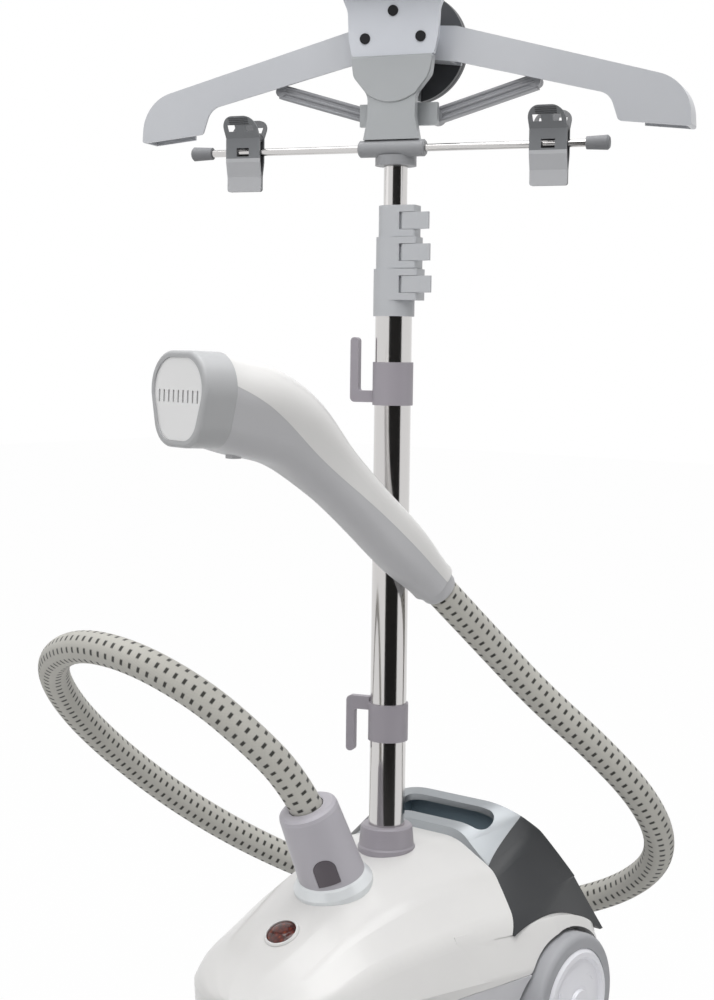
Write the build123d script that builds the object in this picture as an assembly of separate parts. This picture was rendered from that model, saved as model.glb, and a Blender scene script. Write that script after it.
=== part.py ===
from build123d import *
import math
import os

# Upright garment steamer: a wheeled base with a boiler and a lift-off water tank, a telescopic
# pole with a folding hanger, and a handset on a steam hose.
# Millimetres, +Z up, the nose of the base towards -Y, origin on the floor under the pole.

# Fits and clearances
SEAT = 0.1
RUN = 0.3
SHAFT_FIT = 0.06
GLIDE = 0.15

# Base body
WALL = 2.5
BASE_Z = 10.0
PART_Z = 95.0
PART_GAP = 0.4
PART_TILT = 0.078
NOSE_Y = -188.0
NOSE_BREAK = -112.0
REAR_Y = 150.0
REAR_BREAK = 96.0
REAR_CORNER = 45.0
SIDE_HALF = 138.0
SIDE_Y = 67.0
SIDE_FLARE = 0.29
TOP_Z = 181.7
TOP_Y = 35.0
TOP_R = 350.0

# Wheels and feet
WHEEL_R = 57.0
WHEEL_Y = 80.0
WHEEL_FACE = 144.0
WHEEL_W = 32.0
TYRE_T = 12.0
WELL_GAP = 4.0
ARCH_R = 123.0
ARCH_Y = 60.0
ARCH_Z = 7.0
ARCH_FACE = 141.0
ARCH_FRONT = 4.0
ARCH_BACK = 132.0
ARCH_FRONT_SHARE = 0.93
ARCH_FLAT = (12.0, 32.0)
ARCH_REAR_DROP = 16.0
AXLE_R = 4.0
FOOT_R = 11.0
FOOT_X = 52.0
FOOT_Y = -128.0

# Water tank and its carrying handle
DECK_Z = 100.0
TANK_WALL = 3.0
TANK_FRONT_Y = 46.0
TANK_FRONT_Z = 165.0
TANK_LEAN = 0.62
TANK_REAR_LEAN = 0.43
TANK_BACK = 5.0
TANK_CREST_X = 82.0
TANK_CREST_Z = 184.0
HANDLE_TOP_Z = 204.0
HANDLE_RISE = 0.53
HANDLE_WALL = 5.0
GRIP_HALF = 51.0
GRIP_FRONT_Y = 69.0
GRIP_BACK_Y = 91.0
GRIP_ROUND = 10.0
SCOOP_Z = 158.0
VALVE_Y = 98.0
VALVE_R = 12.0
CUP_R = 20.0

# Steam outlet, lamp switch and cord inlet on the base
SOCKET_Y = -69.0
SOCKET_RING_R = 32.5
SOCKET_RING_H = 9.0
CONNECTOR_LOW_R = 27.0
CONNECTOR_TOP_R = 24.5
CONNECTOR_H = 59.0
CONNECTOR_TIP = 4.5
CONNECTOR_LEAN = -6.1
HOSE_TIP = 4.9
HOSE_LEAN = -6.2
CONNECTOR_TURN = 40.0
STEAM_BORE = 7.0
RELEASE_W = 18.0
RELEASE_H = 22.0
RELEASE_Z = 4.0
RELEASE_TRAVEL = 2.0
RELEASE_PROUD = 0.7
CONNECTOR_RIM = 4.0
MOUTH_GAP = 0.8
SWITCH_Y = -131.0
LENS_R = 12.0
LENS_TRAVEL = 2.5
GLAND_X = 72.0
GLAND_Z = 42.0
GLAND_R = 9.0
CORD_BORE = 3.6

# Boiler
BOILER_Y = (-102.0, -30.0)
BOILER_HALF = 52.0
BOILER_H = 66.0
HEATER_R = 4.0
PIPE_R = 6.0

# Telescopic pole
TUBE_R = 15.0
TUBE_WALL = 1.0
TUBE_GAP = 0.8
TUBE_FOOT_Z = 131.0
SOCKET_SLEEVE = 3.5
SOCKET_TOP_Z = 200.0
COLLAR_Z = 621.7
COLLAR_H = (38.0, 25.4, 25.2)
COLLAR_CAP = 6.0
COLLAR_WALL = 1.8
BOSS_H = 25.0
BOSS_REACH = 9.5
LEVER_H = 13.4
LEVER_REACH = 22.0
CAM_R = 3.2
LEVER_PIN_R = 1.5
LEVER_SWING = 0.8
TUBE_TRAVEL = 250.0
TUBE_OVERLAP = 100.0
TOP_TUBE_Z = 746.5

# Cord hooks on the pole
HOOK_BAND_T = 1.5
HOOK_REACH = 36.0
HOOK_PRONG = 7.0
HOOK_T = 7.0
UPPER_HOOK_Z = (549.5, 584.5)
UPPER_PRONG_Z = 604.5
LOWER_HOOK_Z = (271.5, 302.5)
LOWER_PRONG_Z = 259.5

# Hanger head, turned with the pole against the base
HANGER_TURN = 19.0
PIVOT_X = 23.4
PIVOT_Z = 842.5
PLATE_Y = -12.0
PLATE_T = 5.0
PLATE_HALF = 37.5
PLATE_LOW_Z = 828.5
HORN_Z = 904.0
HORN_HALF = 52.0
CRADLE_Z = 887.0
CRADLE_DEPTH = 24.0
SCREW_R = 2.4
SCREW_HEAD_R = 4.2
HOUSING_R = 45.0
HOUSING_T = 15.0
ARM_Y = (12.0, 36.0)
ARM_TIP_X = 235.0
ARM_WALL = 2.4
ARM_ROOT_R = 13.0
ARM_TIP_ROUND = 34.0
ARM_DROP = 74.0
STRUT_PIVOT = (26.0, 784.0)
STRUT_END = (109.0, 808.5)
STRUT_PIN_R = 2.5
STRUT_W = 12.0
STRUT_DEPTH = 13.0
NECK_HALF = 20.0
BAR_Z = 755.5
BAR_Y = -9.0
BAR_R = 3.0
BAR_HALF = 176.5
BAR_CAP_R = 5.8
BAR_CAP_L = 18.0
BAR_CLAMP_R = 6.8
BAR_CLAMP_HALF = 28.0

# Trouser clips
CLIP_X = 129.0
CLIP_W = 30.0
CLIP_T = 2.0
CLIP_ROUND = 10.0
CLIP_UP = 28.0
CLIP_DOWN = 32.0
CLIP_PIN_UP = 11.5
CLIP_PIN_R = 1.6
CLIP_SPREAD = 15.0
SPRING_WIRE = 0.55
SPRING_TURNS = 4

# Steam hose: its route is chosen by hand, from the connector to the handset
HOSE_R = 13.5
HOSE_BORE = 8.0
HOSE_ROUTE = [
    (-27, -133, 288), (-63, -159, 325), (-123, -177, 351), (-195, -172, 351),
    (-264, -141, 320), (-302, -81, 266), (-304, -10, 204), (-277, 61, 144),
    (-228, 130, 94), (-163, 192, 60), (-89, 241, 47), (-13, 272, 56),
    (55, 278, 83), (107, 262, 121), (135, 227, 164), (136, 185, 211),
    (113, 144, 258), (80, 105, 303),
]
HOSE_FIRST_RUN = 30.0
HOSE_LAST_RUN = 67.0

# Handset
HANDSET_TAIL = (41.8, 13.0, 399.5)
HANDSET_HEADING = 167.1
HANDSET_TILT = 41.5
FERRULE_L = 11.0
FERRULE_R = 16.5
HANDLE_RUN = 175.0
HANDLE_BEND_R = 110.0
HEAD_TILT = 14.0
HEAD_RUN = 41.0
FACE_TILT = 2.0
HANDSET_WALL = 2.2
HANDSET_PIPE_T = 1.5
GRIP_W = 38.0
GRIP_H = 45.0
TAIL_W = 34.0
TAIL_H = 36.0
HEAD_W = 92.0
HEAD_LOW_W = 54.0
HEAD_H = 70.0
BEZEL_T = 27.0
BEZEL_RIM = 5.0
PLATE_THICK = 3.0
SLOT_COUNT = 9
SLOT_PITCH = 6.4
SLOT_W = 2.0
SLOT_H = 9.0
LATCH_W = 9.0
LATCH_L = 8.0
LATCH_TRAVEL = 2.0
LATCH_PROUD = 3.0


def block(x, y, z):
    """Box between limits along X, Y and Z."""
    spans = (x, y, z)
    middle = [(low + high) / 2 for low, high in spans]
    return Pos(*middle) * Box(*[high - low for low, high in spans])


def disc(radius, z, x=0.0, y=0.0):
    """Upright cylinder between two heights."""
    return Pos(x, y, (z[0] + z[1]) / 2) * Cylinder(radius, z[1] - z[0])


def rod_x(radius, x, y, z):
    """Cylinder along X between two limits."""
    return Pos((x[0] + x[1]) / 2, y, z) * Rot(0, 90, 0) * Cylinder(radius, x[1] - x[0])


def rod_y(radius, y, x, z):
    """Cylinder along Y between two limits."""
    return Pos(x, (y[0] + y[1]) / 2, z) * Rot(90, 0, 0) * Cylinder(radius, y[1] - y[0])


def prism_x(points, x):
    """Outline of (y, z) points run along X between two limits."""
    face = make_face(Polyline(*[(x[0], y, z) for y, z in points], close=True))
    return extrude(face, x[1] - x[0], dir=(1, 0, 0))


def prism_y(points, y, radii=None):
    """Outline of (x, z) points, with rounded corners where radii are given, run along Y."""
    corners = [(x, y[0], z) for x, z in points]
    if radii is None:
        line = Polyline(*corners, close=True)
    else:
        line = FilletPolyline(*corners, radius=radii, close=True)
    return extrude(make_face(line), y[1] - y[0], dir=(0, 1, 0))


def turned(profile):
    """Solid of revolution about Z from (radius, z) points."""
    face = make_face(Polyline(*[(radius, 0, z) for radius, z in profile], close=True))
    return revolve(face, Axis.Z)


def mirrored(shape):
    """The same piece on the other side of the middle plane."""
    return mirror(shape, about=Plane.YZ)


def save(shape, node):
    """Write one sub-part."""
    export_step(shape, f"parts/{node}.step")


# Base: outer form of the whole body, shared by the cover, the tub and what sits on them

NOSE_STEPS = (0.99, 0.9, 0.7, 0.4)
REAR_STEPS = (0.6, 0.9, 1.0)
LOW_SHARE, BELT_SHARE, CREST_SHARE, SHOULDER_SHARE = 0.9, 0.88, 0.58, 0.22
BELT_RISE, CREST_RISE = 0.45, 0.8
LOW_ROUND, BELT_ROUND, CREST_ROUND, SHOULDER_ROUND = 0.08, 0.3, 0.35, 0.5
WELL_R = WHEEL_R + WELL_GAP
WELL_X = WHEEL_FACE - WHEEL_W - WELL_GAP
FAR = 400.0


def half_width(y, inset=0.0):
    """Half width of the base at its parting line."""
    side = SIDE_HALF + (min(max(y, NOSE_BREAK), SIDE_Y) - SIDE_Y) * SIDE_FLARE - inset
    if y < NOSE_BREAK:
        reach = (NOSE_BREAK - y) / (NOSE_BREAK - NOSE_Y - inset)
        return side * math.sqrt(1 - reach**2)
    if y > REAR_BREAK:
        reach = (y - REAR_BREAK) / (REAR_Y - inset - REAR_BREAK)
        return side - REAR_CORNER * (1 - math.sqrt(max(0.0, 1 - reach**2)))
    return side


def crown(y):
    """Height of the cover along its middle."""
    return TOP_Z - TOP_R + math.sqrt(TOP_R**2 - min(0.0, y - TOP_Y) ** 2)


def crown_tilt(y):
    """Slope of the cover along its middle, in degrees."""
    return math.degrees(math.asin((TOP_Y - y) / TOP_R))


def mirrored_outline(right, radii, y):
    """Face at one place along Y from the (x, z) corners of its right half."""
    left = [(-x, z) for x, z in reversed(right)]
    corners = [(x, y, z) for x, z in right + left]
    return make_face(FilletPolyline(*corners, radius=radii + radii[::-1], close=True))


def body_section(y, inset):
    """Cross-section of the base: tub sides, then three facets up to the top."""
    width = half_width(y, inset)
    low, high = BASE_Z + inset, crown(y) - inset
    rise = high - PART_Z
    right = [
        (LOW_SHARE * width, low),
        (width, PART_Z),
        (BELT_SHARE * width, PART_Z + BELT_RISE * rise),
        (CREST_SHARE * width, PART_Z + CREST_RISE * rise),
        (SHOULDER_SHARE * width, high),
    ]
    rounds = [LOW_ROUND, 0, BELT_ROUND, CREST_ROUND, SHOULDER_ROUND]
    return mirrored_outline(right, [share * width for share in rounds], y)


def body_form(inset=0.0):
    """Outer form of the base, or an inner or outer skin of it."""
    nose, rear = NOSE_Y + inset, REAR_Y - inset
    stations = [NOSE_BREAK - step * (NOSE_BREAK - nose) for step in NOSE_STEPS]
    stations += [NOSE_BREAK, SOCKET_Y, 0.0, SIDE_Y, REAR_BREAK]
    stations += [REAR_BREAK + step * (rear - REAR_BREAK) for step in REAR_STEPS]
    return loft([body_section(y, inset) for y in stations])


def tank_joint(z):
    """Place along Y of the leaning joint between cover and tank."""
    return TANK_FRONT_Y + (z - TANK_FRONT_Z) * TANK_LEAN


def cover_space(inset):
    """Space in front of the tank joint and below the deck that the tank stands on."""
    back = inset * math.hypot(1, TANK_LEAN)
    deck = DECK_Z - inset
    outline = [
        (-FAR, BASE_Z), (FAR, BASE_Z), (FAR, deck), (tank_joint(deck) - back, deck),
        (tank_joint(FAR) - back, FAR), (-FAR, FAR),
    ]
    return prism_x(outline, (-FAR, FAR))


def both_wheels(make):
    """A piece at the right wheel and its mirror image at the left wheel."""
    right = make()
    return right + mirrored(right)


def well_space():
    return both_wheels(lambda: rod_x(WELL_R, (WELL_X, FAR), WHEEL_Y, WHEEL_R))


def arch_form(inset):
    """Right wheel arch: a flat arc over the wheel that follows the side of the body in plan."""
    inner, low = WELL_X - WALL + inset, PART_Z - PART_TILT * (SIDE_Y - ARCH_FRONT) - 1
    front, back, face = ARCH_FRONT + inset, ARCH_BACK - inset, ARCH_FACE - inset
    plan = [
        (inner, front), (ARCH_FRONT_SHARE * half_width(front) - inset, front),
        (face, WHEEL_Y - ARCH_FLAT[0]), (face, WHEEL_Y + ARCH_FLAT[1]),
        (face - ARCH_REAR_DROP, back), (inner, back),
    ]
    slab = extrude(make_face(Polyline(*[(x, y, low) for x, y in plan], close=True)), FAR)
    return slab & rod_x(ARCH_R - inset, (0, FAR), ARCH_Y, ARCH_Z)


def wheel_arch():
    """Hollow wheel arch over the wheel well."""
    hollow = arch_form(WALL) - rod_x(WELL_R + WALL, (0, FAR), WHEEL_Y, WHEEL_R)
    return arch_form(0.0) - hollow


def upper_space(low):
    return block((-FAR, FAR), (-FAR, FAR), (low, FAR))


def above_parting(lift):
    """Space above the joint between cover and tub, which drops towards the nose."""
    low = PART_Z + lift
    nose = low - PART_TILT * (FAR + SIDE_Y)
    outline = [(-FAR, nose), (SIDE_Y, low), (FAR, low), (FAR, FAR), (-FAR, FAR)]
    return prism_x(outline, (-FAR, FAR))


OUTER = body_form()
INNER = body_form(WALL)
SKIN = body_form(-SEAT)
POLE_SLEEVE_R = TUBE_R + SEAT + SOCKET_SLEEVE
SOCKET_AT = Location((0, SOCKET_Y, crown(SOCKET_Y)), (crown_tilt(SOCKET_Y), 0, 0))
CONNECTOR_AT = SOCKET_AT * Pos(0, 0, SOCKET_RING_H) * Rot(CONNECTOR_TIP, CONNECTOR_LEAN, 0)
HOSE_AT = CONNECTOR_AT * Pos(0, 0, CONNECTOR_H) * Rot(HOSE_TIP, HOSE_LEAN, 0)
SWITCH_AT = Location((0, SWITCH_Y, crown(SWITCH_Y)), (crown_tilt(SWITCH_Y), 0, 0))
SPIGOT_R = STEAM_BORE + 5.0
SPIGOT_H = SOCKET_RING_H + 14.0
BEZEL_R = LENS_R + RUN + 2.2
SKIRT_R = LENS_R + RUN + 1.2
SKIRT_L = 9.0


def upper_cover():
    """White hood, rear deck and wheel arches in one moulding."""
    shell = OUTER & cover_space(0.0)
    shell -= INNER & cover_space(WALL)
    shell = (shell + both_wheels(wheel_arch)) & above_parting(PART_GAP / 2)
    shell -= well_space()
    shell -= disc(POLE_SLEEVE_R + SEAT, (PART_Z, FAR))
    shell -= SOCKET_AT * disc(SPIGOT_R + SEAT, (-30.0, 30.0))
    shell -= SWITCH_AT * disc(SKIRT_R + SEAT, (-30.0, 30.0))
    return shell - disc(CUP_R + WALL + SEAT, (PART_Z, FAR), y=VALVE_Y)


def lower_shell():
    """Grey tub with wheel wells, axle bores, foot holes and cord inlet hole."""
    tub = OUTER - INNER
    liner = both_wheels(lambda: rod_x(WELL_R + WALL, (WELL_X - WALL, FAR), WHEEL_Y, WHEEL_R))
    tub = tub + (liner & OUTER)
    tub -= above_parting(-PART_GAP / 2)
    tub -= well_space()
    tub -= rod_x(AXLE_R + SEAT, (-FAR, FAR), WHEEL_Y, WHEEL_R)
    tub -= rod_y(GLAND_R + SEAT, (REAR_Y - 20, REAR_Y + 20), GLAND_X, GLAND_Z)
    for side in (-1, 1):
        tub -= disc(FOOT_R / 2 + SEAT, (0, BASE_Z + 20), side * FOOT_X, FOOT_Y)
    return tub


def front_feet():
    """Two rubber feet plugged into the floor of the tub."""
    pad = turned([
        (0, 0), (FOOT_R - 1.5, 0), (FOOT_R, 1.5), (FOOT_R, BASE_Z - SEAT), (FOOT_R / 2, BASE_Z - SEAT),
        (FOOT_R / 2, BASE_Z + WALL), (0, BASE_Z + WALL),
    ])
    return Compound(children=[Pos(side * FOOT_X, FOOT_Y, 0) * pad for side in (-1, 1)])


def pole_socket():
    """Collar on the cover with a blind sleeve that holds the foot of the pole."""
    low = crown(0) - 20
    collar = turned([
        (0, low), (TUBE_R + 9, low), (TUBE_R + 9, crown(0) + 1.5), (TUBE_R + 8, crown(0) + 3),
        (TUBE_R + 6.5, SOCKET_TOP_Z - 1.5), (TUBE_R + 5, SOCKET_TOP_Z), (0, SOCKET_TOP_Z),
    ])
    collar = (collar - SKIN) + disc(POLE_SLEEVE_R, (TUBE_FOOT_Z - WALL, SOCKET_TOP_Z - 4))
    return collar - disc(TUBE_R + SEAT, (TUBE_FOOT_Z, FAR))


def hose_socket_ring():
    """Flared bright ring on the cover, with the spigot that the connector plugs onto."""
    flare = turned([
        (0, -12), (SOCKET_RING_R, -12), (SOCKET_RING_R, 1.5), (SOCKET_RING_R - 1, 3),
        (CONNECTOR_LOW_R + 1.5, SOCKET_RING_H - 1.5), (CONNECTOR_LOW_R, SOCKET_RING_H), (0, SOCKET_RING_H),
    ])
    spigot = disc(SPIGOT_R, (-8.0, SPIGOT_H))
    ring = (SOCKET_AT * flare - SKIN) + SOCKET_AT * spigot
    return ring - SOCKET_AT * disc(STEAM_BORE, (-30.0, 60.0))


def release_outline(grow):
    """Arch-shaped outline of the release button, run outwards through the connector wall."""
    half = RELEASE_W / 2 + grow
    low = RELEASE_Z - grow
    spring = RELEASE_Z + RELEASE_H - RELEASE_W / 2
    pad = block((-half, half), (-FAR, 0), (low, spring))
    return pad + rod_y(half, (-FAR, 0), 0, spring)


def connector_cone(grow):
    """Tapered body of the connector, leaning from the ring to its rounded mouth."""
    low, high = -8.0, CONNECTOR_H + CONNECTOR_RIM
    return turned([
        (0, low), (CONNECTOR_LOW_R + grow, low), (CONNECTOR_LOW_R + grow, 0),
        (CONNECTOR_TOP_R + grow, high - 5), (CONNECTOR_TOP_R - 0.8 + grow, high - 2),
        (CONNECTOR_TOP_R - 3 + grow, high - 0.3), (CONNECTOR_TOP_R - 5 + grow, high), (0, high),
    ])


RELEASE_BACK = CONNECTOR_TOP_R - 3.0


def hose_connector():
    """Tapered plug of the hose, seated over the spigot."""
    body = connector_cone(0.0) - Rot(0, 0, CONNECTOR_TURN) * (
        release_outline(RUN) - disc(RELEASE_BACK - RELEASE_TRAVEL - RUN, (-FAR, FAR))
    )
    body = CONNECTOR_AT * body
    body -= SOCKET_AT * block((-FAR, FAR), (-FAR, FAR), (-FAR, SOCKET_RING_H + SEAT))
    body -= SOCKET_AT * disc(SPIGOT_R + SEAT, (0, SPIGOT_H + SEAT))
    body -= SOCKET_AT * disc(STEAM_BORE, (0, SPIGOT_H + 20))
    body -= HOSE_AT * disc(STEAM_BORE, (-CONNECTOR_H + SPIGOT_H, FAR))
    return body - HOSE_AT * disc(HOSE_R + MOUTH_GAP, (0, FAR))


def connector_release():
    """Arched push button in the side of the connector."""
    pad = release_outline(0.0) - disc(RELEASE_BACK, (-FAR, FAR))
    pad = (Rot(0, 0, CONNECTOR_TURN) * pad) & connector_cone(RELEASE_PROUD)
    return CONNECTOR_AT * pad


def power_bezel():
    """Pale ring round the lamp lens, with a skirt through the cover."""
    flange = turned([(0, -8), (BEZEL_R, -8), (BEZEL_R, 0.8), (BEZEL_R - 0.8, 1.8), (0, 1.8)])
    skirt = disc(SKIRT_R, (-SKIRT_L, 0.5))
    bezel = (SWITCH_AT * flange - SKIN) + SWITCH_AT * skirt
    return bezel - SWITCH_AT * disc(LENS_R + RUN, (-30.0, 30.0))


def power_button():
    """Domed lens that is pressed to switch the steamer on."""
    dome_h = 3.2
    dome_r = (LENS_R**2 + dome_h**2) / (2 * dome_h)
    cap = Pos(0, 0, dome_h + 0.8 - dome_r) * Sphere(dome_r)
    lens = disc(LENS_R, (-SKIRT_L + LENS_TRAVEL + RUN, FAR / 4)) & cap
    return SWITCH_AT * lens


def switch_body():
    """Push switch under the lens, clipped to the skirt of the bezel."""
    box = block((-13, 13), (-11, 11), (-SKIRT_L - 20, -SKIRT_L - SEAT))
    tabs = block((-3, 3), (-4, 4), (-SKIRT_L - 26, -SKIRT_L - 20))
    return SWITCH_AT * (box + tabs)


def cord_gland():
    """Bush in the rear wall where the mains lead would come in."""
    bush = rod_y(GLAND_R, (REAR_Y - WALL - 6, REAR_Y + 8), GLAND_X, GLAND_Z)
    flange = rod_y(GLAND_R + 3, (REAR_Y + SEAT, REAR_Y + 2.5), GLAND_X, GLAND_Z)
    return bush + flange - rod_y(CORD_BORE, (REAR_Y - 30, REAR_Y + 30), GLAND_X, GLAND_Z)


# Inside of the base

FLOOR_Z = BASE_Z + WALL + SEAT
BOILER_TOP = FLOOR_Z + BOILER_H
BOILER_MID_Y = (BOILER_Y[0] + BOILER_Y[1]) / 2
HEATER_Z = FLOOR_Z + 16.0


def steam_axis_y(z):
    """Place along Y of the steam outlet axis at one height."""
    return SOCKET_Y + (crown(SOCKET_Y) - z) * math.tan(math.radians(crown_tilt(SOCKET_Y)))


def heater_path(tail):
    """Hairpin line of the heating rod, with its two ends out of the back of the boiler."""
    half, front = BOILER_HALF - 14, BOILER_Y[0] + 16
    back = BOILER_Y[1] + tail
    corners = [
        (-half, back, HEATER_Z), (-half, front, HEATER_Z), (half, front, HEATER_Z), (half, back, HEATER_Z),
    ]
    return FilletPolyline(*corners, radius=22.0)


def rod_along(path, radius):
    """Round rod swept along a line."""
    start = Plane(origin=path @ 0, z_dir=path % 0)
    return sweep(start * Circle(radius), path=path)


def boiler():
    """Cast boiler on the floor of the tub, with outlet boss and heater channel."""
    cast = block((-BOILER_HALF, BOILER_HALF), BOILER_Y, (FLOOR_Z, BOILER_TOP))
    cast = fillet(cast.edges().filter_by(Axis.Z), 16)
    cast = fillet(cast.faces().sort_by(Axis.Z)[-1].edges(), 8)
    cast += disc(PIPE_R + 4, (BOILER_TOP - 4, BOILER_TOP + 8), y=steam_axis_y(BOILER_TOP + 8))
    cast -= block((-BOILER_HALF + 8, BOILER_HALF - 8), (BOILER_Y[0] + 8, BOILER_Y[1] - 8),
                  (HEATER_Z + 14, BOILER_TOP - 6))
    cast -= disc(STEAM_BORE / 2, (BOILER_TOP - 10, BOILER_TOP + 20), y=steam_axis_y(BOILER_TOP + 8))
    return cast - rod_along(heater_path(FAR), HEATER_R + SEAT)


def heating_element():
    """Sheathed heating rod cast round inside the boiler."""
    return rod_along(heater_path(14.0), HEATER_R)


def steam_pipe():
    """Straight pipe from the boiler boss to the spigot under the cover."""
    foot = BOILER_TOP + 8 + SEAT
    length = (crown(SOCKET_Y) - foot) / math.cos(math.radians(crown_tilt(SOCKET_Y)))
    pipe = SOCKET_AT * disc(PIPE_R, (-length - 20, -8.0 - SEAT))
    pipe -= SOCKET_AT * disc(PIPE_R - 2, (-FAR, 0))
    return pipe & upper_space(foot)


CUP_LOW = DECK_Z - 16.0


def valve_seat():
    """Cup in the deck that opens the tank valve, with a nipple below."""
    cup = disc(CUP_R + WALL, (CUP_LOW, DECK_Z), y=VALVE_Y)
    cup += disc(CUP_R + WALL + 4, (DECK_Z - WALL - 4, DECK_Z - WALL - SEAT), y=VALVE_Y)
    cup += disc(PIPE_R, (CUP_LOW - 10, CUP_LOW), y=VALVE_Y)
    cup -= disc(CUP_R, (CUP_LOW + WALL, FAR), y=VALVE_Y)
    return cup - disc(PIPE_R - 2, (0, FAR), y=VALVE_Y)


def feed_tube():
    """Soft tube from the valve cup to the back of the boiler."""
    top, low = CUP_LOW - 10 - SEAT, FLOOR_Z + 30
    path = FilletPolyline((0, VALVE_Y, top), (0, VALVE_Y, low), (0, BOILER_Y[1] + SEAT, low), radius=20.0)
    return rod_along(path, PIPE_R) - rod_along(path, PIPE_R - 2)


def boiler_tubes():
    return Compound(children=[steam_pipe(), feed_tube()])


# Water tank

def tank_form(inset=0.0):
    """Outer form of the tank and its handle, flush with the cover in front and boxier behind."""
    low = DECK_Z + RUN + inset
    sections = []
    for y in (-20.0, TANK_FRONT_Y):
        width, high = half_width(y, inset), crown(y) - inset
        rise = high - PART_Z
        right = [
            (width * (1 - (1 - BELT_SHARE) * (low - PART_Z) / (BELT_RISE * rise)), low),
            (BELT_SHARE * width, PART_Z + BELT_RISE * rise),
            (CREST_SHARE * width, PART_Z + CREST_RISE * rise),
            (SHOULDER_SHARE * width, high),
        ]
        rounds = [0, BELT_ROUND * width, CREST_ROUND * width, SHOULDER_ROUND * width]
        sections.append(mirrored_outline(right, rounds, y))
    boxy = [
        (SIDE_HALF - 11 - inset, low),
        (SIDE_HALF - 28 - inset, TANK_CREST_Z - 40),
        (TANK_CREST_X - inset, TANK_CREST_Z - inset),
        (TANK_CREST_X - 32, HANDLE_TOP_Z - inset),
    ]
    for y in (GRIP_BACK_Y + 8, REAR_Y + 20):
        sections.append(mirrored_outline(boxy, [0, 24.0, 26.0, 70.0], y))
    back = RUN * math.hypot(1, TANK_LEAN) + inset * math.hypot(1, TANK_LEAN)
    rear = REAR_Y - TANK_BACK - inset
    outline = [
        (tank_joint(low) + back, low), (rear, low),
        (rear - (FAR - low) * TANK_REAR_LEAN, FAR), (tank_joint(FAR) + back, FAR),
    ]
    if outline[2][0] < outline[3][0]:
        cross = (rear + low * TANK_REAR_LEAN - TANK_FRONT_Y - back + TANK_FRONT_Z * TANK_LEAN)
        z = cross / (TANK_LEAN + TANK_REAR_LEAN)
        outline[2:] = [(tank_joint(z) + back, z)]
    return loft(sections) & prism_x(outline, (-FAR, FAR))


def above_handle_joint(lift):
    """Space above the slanting joint between tank and handle."""
    def height(y):
        return TANK_FRONT_Z + 1 + (y - TANK_FRONT_Y) * HANDLE_RISE + lift
    return prism_x([(-FAR, height(-FAR)), (FAR, height(FAR)), (FAR, FAR * 2), (-FAR, FAR * 2)], (-FAR, FAR))


def grip_mouth(z):
    """Rounded finger opening in the top of the handle."""
    mouth = block((-GRIP_HALF, GRIP_HALF), (GRIP_FRONT_Y, GRIP_BACK_Y), z)
    return fillet(mouth.edges().filter_by(Axis.Z), GRIP_ROUND)


TANK_OUTER = tank_form()
TANK_INNER = tank_form(TANK_WALL)


def water_tank():
    """Smoked tank with a finger scoop under the handle."""
    shell = TANK_OUTER - TANK_INNER
    scoop_y = (GRIP_FRONT_Y - TANK_WALL, GRIP_BACK_Y + 14)
    scoop_x = (-GRIP_HALF - TANK_WALL, GRIP_HALF + TANK_WALL)
    scoop = block(scoop_x, scoop_y, (SCOOP_Z - TANK_WALL, FAR))
    scoop += block(scoop_x, (0, scoop_y[0]), (SCOOP_Z - TANK_WALL, SCOOP_Z))
    shell += scoop & TANK_OUTER
    shell -= block((-GRIP_HALF, GRIP_HALF), (GRIP_FRONT_Y, scoop_y[1] - TANK_WALL), (SCOOP_Z, FAR))
    shell -= above_handle_joint(-SEAT / 2)
    shell -= both_wheels(lambda: rod_x(ARCH_R + RUN, (WELL_X - WALL - RUN, FAR), ARCH_Y, ARCH_Z))
    return shell - disc(VALVE_R / 2 + SEAT, (0, DECK_Z + 20), y=VALVE_Y)


def tank_handle():
    """Silver frame over the tank with a finger opening and an arched grip."""
    frame = TANK_OUTER - tank_form(HANDLE_WALL)
    frame &= above_handle_joint(SEAT / 2)
    return frame - grip_mouth((0, FAR))


def tank_valve():
    """Valve in the floor of the tank that reaches into the cup."""
    high = DECK_Z + RUN - SEAT
    valve = turned([
        (0, high - 8), (VALVE_R - 3, high - 8), (VALVE_R, high - 5), (VALVE_R, high), (VALVE_R / 2, high),
        (VALVE_R / 2, high + 14), (0, high + 14),
    ])
    return Pos(0, VALVE_Y, 0) * valve


# Wheels

HUB_R = WHEEL_R - TYRE_T
HUB_BACK = WHEEL_FACE - WHEEL_W


def tyre():
    """Grey tyre ring with rounded shoulders, on the right wheel."""
    half = WHEEL_W / 2
    ring = Cylinder(WHEEL_R, WHEEL_W - 4) - Cylinder(HUB_R + SEAT, WHEEL_W)
    outer = ring.edges().filter_by(GeomType.CIRCLE).group_by(SortBy.RADIUS)[-1]
    ring = fillet(outer, 5.0)
    return Pos(WHEEL_FACE - half - 2, WHEEL_Y, WHEEL_R) * Rot(0, 90, 0) * ring


def hub():
    """White dished hub cap with curved ridges and a centre boss, on the right wheel."""
    face = WHEEL_W
    body = turned([
        (AXLE_R + SHAFT_FIT, 0), (HUB_R, 0), (HUB_R, face - 5), (HUB_R - 3, face - 2),
        (HUB_R - 7, face - 2),
        (HUB_R - 9, face - 5), (15, face - 2.5), (12, face - 2.5), (11, face), (0, face), (0, face - 6),
        (AXLE_R + SHAFT_FIT, face - 6),
    ])
    ridge = Pos(17, 0, face - 6) * (Cylinder(13, 5.0) - Cylinder(10.5, 5.0))
    ridge &= Pos(17, 25, face - 6) * Box(60, 50, 20)
    for turn in range(3):
        body += Rot(0, 0, 120 * turn) * ridge
    return Pos(HUB_BACK, WHEEL_Y, WHEEL_R) * Rot(0, 90, 0) * body


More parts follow.
